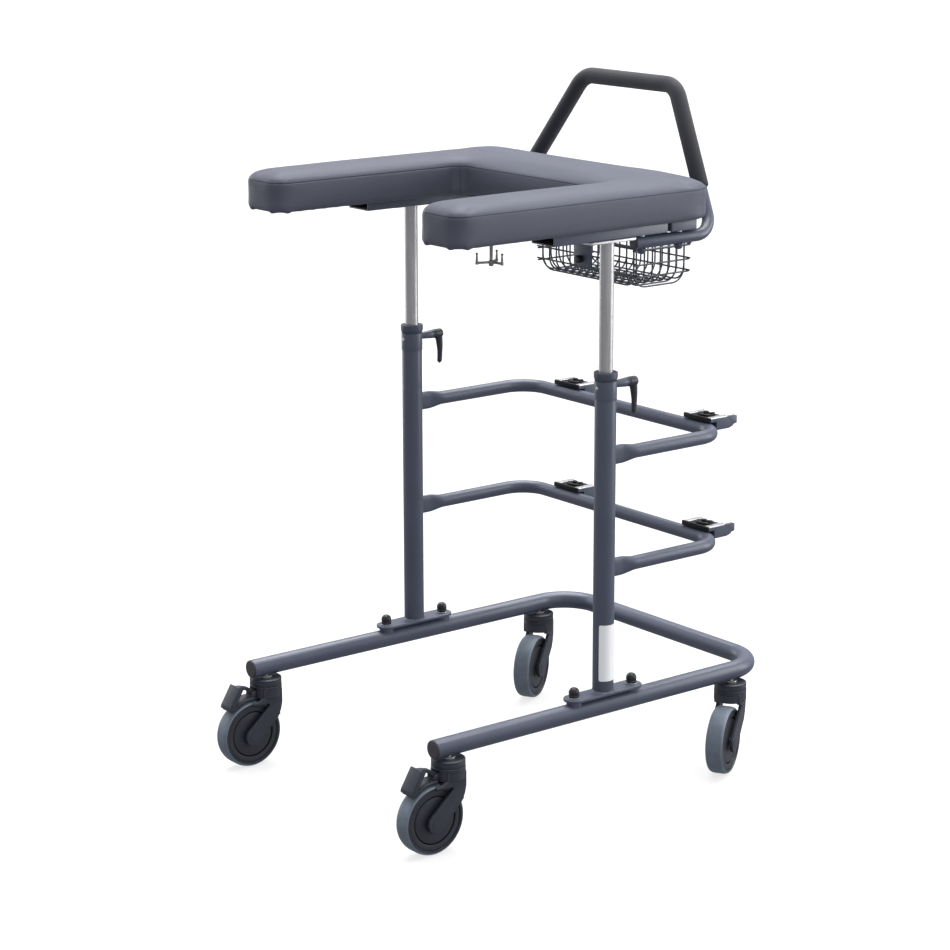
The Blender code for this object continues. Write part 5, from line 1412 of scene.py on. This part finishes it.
def basket_wires():
    """Bent wires both ways and three rings of straight ones outside them, each as path, radius and side."""
    along_x, along_y = (1.0, 0.0, 0.0), (0.0, 1.0, 0.0)
    middle_y = (BASKET_REAR_Y + BASKET_FRONT_Y) / 2
    half_y = (BASKET_FRONT_Y - BASKET_REAR_Y) / 2
    for x in spread(WIRES_ALONG, BASKET_HALF_X - 2 * WIRE):
        yield hung_wire((x, middle_y - half_y), (x, middle_y + half_y), BASKET_BOTTOM_Z), WIRE, along_x
    crossing_z = BASKET_BOTTOM_Z + (2 * WIRE - WIRE_SINK)
    for y in spread(WIRES_ACROSS, half_y - 2 * WIRE):
        start, end = (-BASKET_HALF_X, middle_y + y), (BASKET_HALF_X, middle_y + y)
        yield hung_wire(start, end, crossing_z), WIRE, along_y
    for drop in RING_DROPS:
        radius = WIRE if drop else RIM_WIRE
        z = BASKET_RIM_Z - drop
        depth = max(BASKET_BEND - (z - BASKET_BOTTOM_Z), 0.0)
        inset = BASKET_BEND - math.sqrt(BASKET_BEND ** 2 - depth ** 2)
        out = WIRE + radius - WIRE_SINK - inset
        for sign in (1.0, -1.0):
            y = middle_y + sign * (half_y + out)
            reach = BASKET_HALF_X + WIRE + radius + WIRE_OVERHANG
            yield [(-reach, y, z), (reach, y, z)], radius, along_y
            x = sign * (BASKET_HALF_X + out)
            reach = half_y + WIRE + radius + WIRE_OVERHANG / 2
            up = z - 2 * radius + WIRE_SINK
            yield [(x, middle_y - reach, up), (x, middle_y + reach, up)], radius, along_x


def build_basket():
    """The wires as round rods, with ball ends on the straight ones."""
    parts = []
    for path, radius, side in basket_wires():
        parts.append((tube(path, radius, 10, side=side), WIRE_COAT))
        if len(path) == 2:
            parts += [(ball(Vector(end), radius, 4, 10), WIRE_COAT) for end in path]
    piece("wire_basket", parts, "carriage", "coated_wire", ["basket"])


def build_bracket():
    """Channel that carries the basket, with two hooks for its rim."""
    wall = 0.0025
    half = BRACKET_HALF
    rim_y = BASKET_REAR_Y - WIRE - RIM_WIRE + WIRE_SINK
    depth = rim_y - RIM_WIRE - WIRE_SINK - BRACKET_Y
    top = RAIL_LOW - 0.0002
    outline = [(x, BRACKET_Y + y) for x, y in channel(half, depth, wall, 0.0014, 3)]
    arm = block((-half, half), (BRACKET_Y + 0.001, CROSS_FRONT_Y - 0.002), (top - wall, top))
    parts = [(extrude(outline, BRACKET_LOW, top), PAINT, 0.0004), (arm, PAINT, 0.0006)]
    under = BASKET_RIM_Z - RIM_WIRE - WIRE_SINK
    root = BRACKET_Y + depth - wall
    hook = [(root, under - 0.003)]
    hook += around(rim_y + RIM_WIRE, under, (0.0023, -0.003), (0.0023, 0.006), (0.0003, 0.006), (0.0003, 0))
    hook += [(root, under)]
    for sign in (1.0, -1.0):
        parts.append((extrude(hook, *reach_of(sign, half, half - 0.006), "X"), PAINT, 0.0005))
    piece("basket_hanger", parts, "carriage", "frame_paint", ["basket_bracket"])


def build_thumb_knob():
    """Round knob with twelve shallow flutes."""
    outline = [(0, -0.006), (0.003, -0.006), (0.003, 0.0003), (0.0052, 0.0003), (0.0074, 0.0028)]
    outline += [(0.0074, 0.0105), (0.0060, 0.0120), (0, 0.0122)]
    knob = moved(lathe(outline, 60, soft=0.0010), turn(90, "X"))
    for vertex in knob.verts:
        angle = math.atan2(vertex.co.z, vertex.co.x)
        if math.hypot(vertex.co.x, vertex.co.z) > 0.0068:
            factor = 1.0 - 0.05 * max(0.0, math.cos(12.0 * angle))
            vertex.co.x *= factor
            vertex.co.z *= factor
    place = shift(0, BRACKET_Y, THUMB_KNOB_Z)
    piece("thumb_knob", [(knob, BLACK)], "basket_knob", "black_plastic", ["basket_knob"], place)


def build_bag_hook():
    """Rod with a three-armed star, each arm turned up to a ball-ended peg."""
    outline = [(0, 0), (0.008, 0), (0.008, -0.0022), (0.0031, -0.0030)]
    outline += around(0, HOOK_HUB, (0.0031, 0.0035), (0.0045, 0.0025), (0.0045, -0.004))
    outline += around(0, HOOK_HUB, (0.003, -0.0065), (0, -0.0068))
    # the hook in the darker steel: painted shade under the pad
    parts = [(lathe(outline, 40, soft=0.0008), SHADED_STEEL)]
    for angle in (math.radians(degrees) for degrees in HOOK_ANGLES):
        ways = Vector((math.cos(angle), math.sin(angle), 0.0))
        foot = ways * HOOK_REACH + UP * HOOK_HUB
        path = [ways * 0.002 + UP * HOOK_HUB, foot + ways * 0.0012]
        parts.append((tube(path, 0.0021, 18, side=ways.cross(UP)), SHADED_STEEL))
        parts.append((rod(foot - UP * 0.0026, foot + UP * HOOK_PEG, 0.0029, 0.0015), SHADED_STEEL))
        parts.append((ball(foot + UP * (HOOK_PEG + 0.0012), 0.0023), SHADED_STEEL))
    piece("star_hook", parts, "carriage", "bright_steel", ["bag_hook"], Matrix.Translation(HOOK))


def build_label():
    """Blank white film with rounded corners, round the front of the right post."""
    rings = []
    steps = 36
    radius = POST_RADIUS + 0.00012
    width = radius * (FILM_END - FILM_START)
    for i in range(steps + 1):
        s = width * i / steps
        edge = min(s, width - s)
        trim = 0.0
        if edge < FILM_CORNER:
            trim = FILM_CORNER - math.sqrt(max(FILM_CORNER ** 2 - (FILM_CORNER - edge) ** 2, 0.0))
        angle = FILM_START + (FILM_END - FILM_START) * i / steps
        low, high = FILM_LOW + trim, FILM_HIGH - trim
        section = [(radius, low), (radius, high), (radius - 0.0001, high), (radius - 0.0001, low)]
        rings.append([(r * math.cos(angle), r * math.sin(angle), z) for r, z in section])
    piece("blank_label", [(skin(rings), FILM)], "frame", "frame_paint", place=shift(x=TRACK_HALF))


# Stage

def build_floor():
    """White floor that only the camera sees."""
    mesh = bpy.data.meshes.new("floor")
    ground = bmesh.new()
    bmesh.ops.create_circle(ground, cap_ends=True, segments=64, radius=80.0)
    ground.to_mesh(mesh)
    ground.free()
    floor = linked(bpy.data.objects.new("floor", mesh))
    floor.location.z = -0.0005
    floor.visible_diffuse = False
    floor.visible_glossy = False
    finish = Finish("floor_white", 0.9, Emission_Color=(1.0, 1.0, 1.0, 1.0), Emission_Strength=0.72)
    cloud = finish.ranged(finish.noise(2.0, 2.0), 0.3, 0.7)
    mesh.materials.append(finish.finished(finish.mixed(cloud, (0.225, 0.225, 0.225), (0.235, 0.235, 0.235))))


def build_world():
    """Even light that is a little stronger from above."""
    world = bpy.data.worlds.new("studio")
    world.use_nodes = True
    tree = world.node_tree
    background = tree.nodes["Background"]
    background.inputs["Color"].default_value = (0.94, 0.96, 1.0, 1.0)
    where = tree.nodes.new("ShaderNodeTexCoord")
    parts = tree.nodes.new("ShaderNodeSeparateXYZ")
    ramp = tree.nodes.new("ShaderNodeMapRange")
    for socket, value in (("From Min", -0.5), ("From Max", 0.1), ("To Min", 0.32), ("To Max", 0.58)):
        ramp.inputs[socket].default_value = value
    tree.links.new(where.outputs["Generated"], parts.inputs["Vector"])
    tree.links.new(parts.outputs["Z"], ramp.inputs["Value"])
    tree.links.new(ramp.outputs["Result"], background.inputs["Strength"])
    bpy.context.scene.world = world


def aimed(light, where, target=(0.0, 0.0, 0.7)):
    obj = linked(bpy.data.objects.new(light.name, light))
    obj.location = where
    obj.rotation_euler = (Vector(target) - Vector(where)).to_track_quat("-Z", "Y").to_euler()


def build_lights():
    """A broad soft light above, and three upright softboxes at the sides."""
    above = bpy.data.lights.new("above", "SUN")
    above.energy = 5.0
    above.angle = math.radians(58.0)
    aimed(above, (-0.45, 0.50, 2.8))
    boxes = (
        ("left_box", (-3.1, -0.6, 1.25), (1.5, 2.4), 30.0),
        ("right_box", (2.0, 2.9, 1.35), (1.6, 2.4), 66.0),
        ("side_box", (4.2, -0.6, 2.2), (1.4, 1.8), 22.0),
    )
    for name, where, size, power in boxes:
        box = bpy.data.lights.new(name, "AREA")
        box.shape = "RECTANGLE"
        box.size, box.size_y = size
        box.energy = power
        aimed(box, where)


def build_camera():
    """The photograph's camera: its turn about the object, height, roll, distance and focal length."""
    azimuth, elevation, roll = 0.9072245, 0.2448310, -0.0026053
    focal_pixels, frame_pixels = 2681.001, 950.0
    spot = Vector((3.713626, -2.971954, 1.739723))
    level = math.cos(elevation)
    back = Vector((math.sin(azimuth) * level, -math.cos(azimuth) * level, math.sin(elevation)))
    right = Vector((math.cos(azimuth), math.sin(azimuth), 0.0))
    up = back.cross(right)
    turned_right = right * math.cos(roll) + up * math.sin(roll)
    turned_up = up * math.cos(roll) - right * math.sin(roll)
    data = bpy.data.cameras.new("camera")
    data.sensor_width = 36.0
    data.lens = focal_pixels / frame_pixels * data.sensor_width
    camera = linked(bpy.data.objects.new("camera", data))
    matrix = Matrix((turned_right, turned_up, back)).transposed().to_4x4()
    matrix.translation = spot + CENTRE
    camera.matrix_world = matrix
    bpy.context.scene.camera = camera
    bpy.context.scene.view_settings.view_transform = "Standard"


build_camera()
build_floor()
build_world()
build_lights()
build_base()
build_foot_plates()
build_foot_bolts()
build_posts()
build_bushes()
build_levers()
build_guard_bars()
build_couplers()
build_coupler_knobs()
build_heads()
build_forks()
build_wheels()
build_pedals()
build_inner_tubes()
build_rails()
build_cushion()
build_board()
build_handle()
build_grip()
build_handle_bolts()
build_basket()
build_bracket()
build_thumb_knob()
build_bag_hook()
build_label()
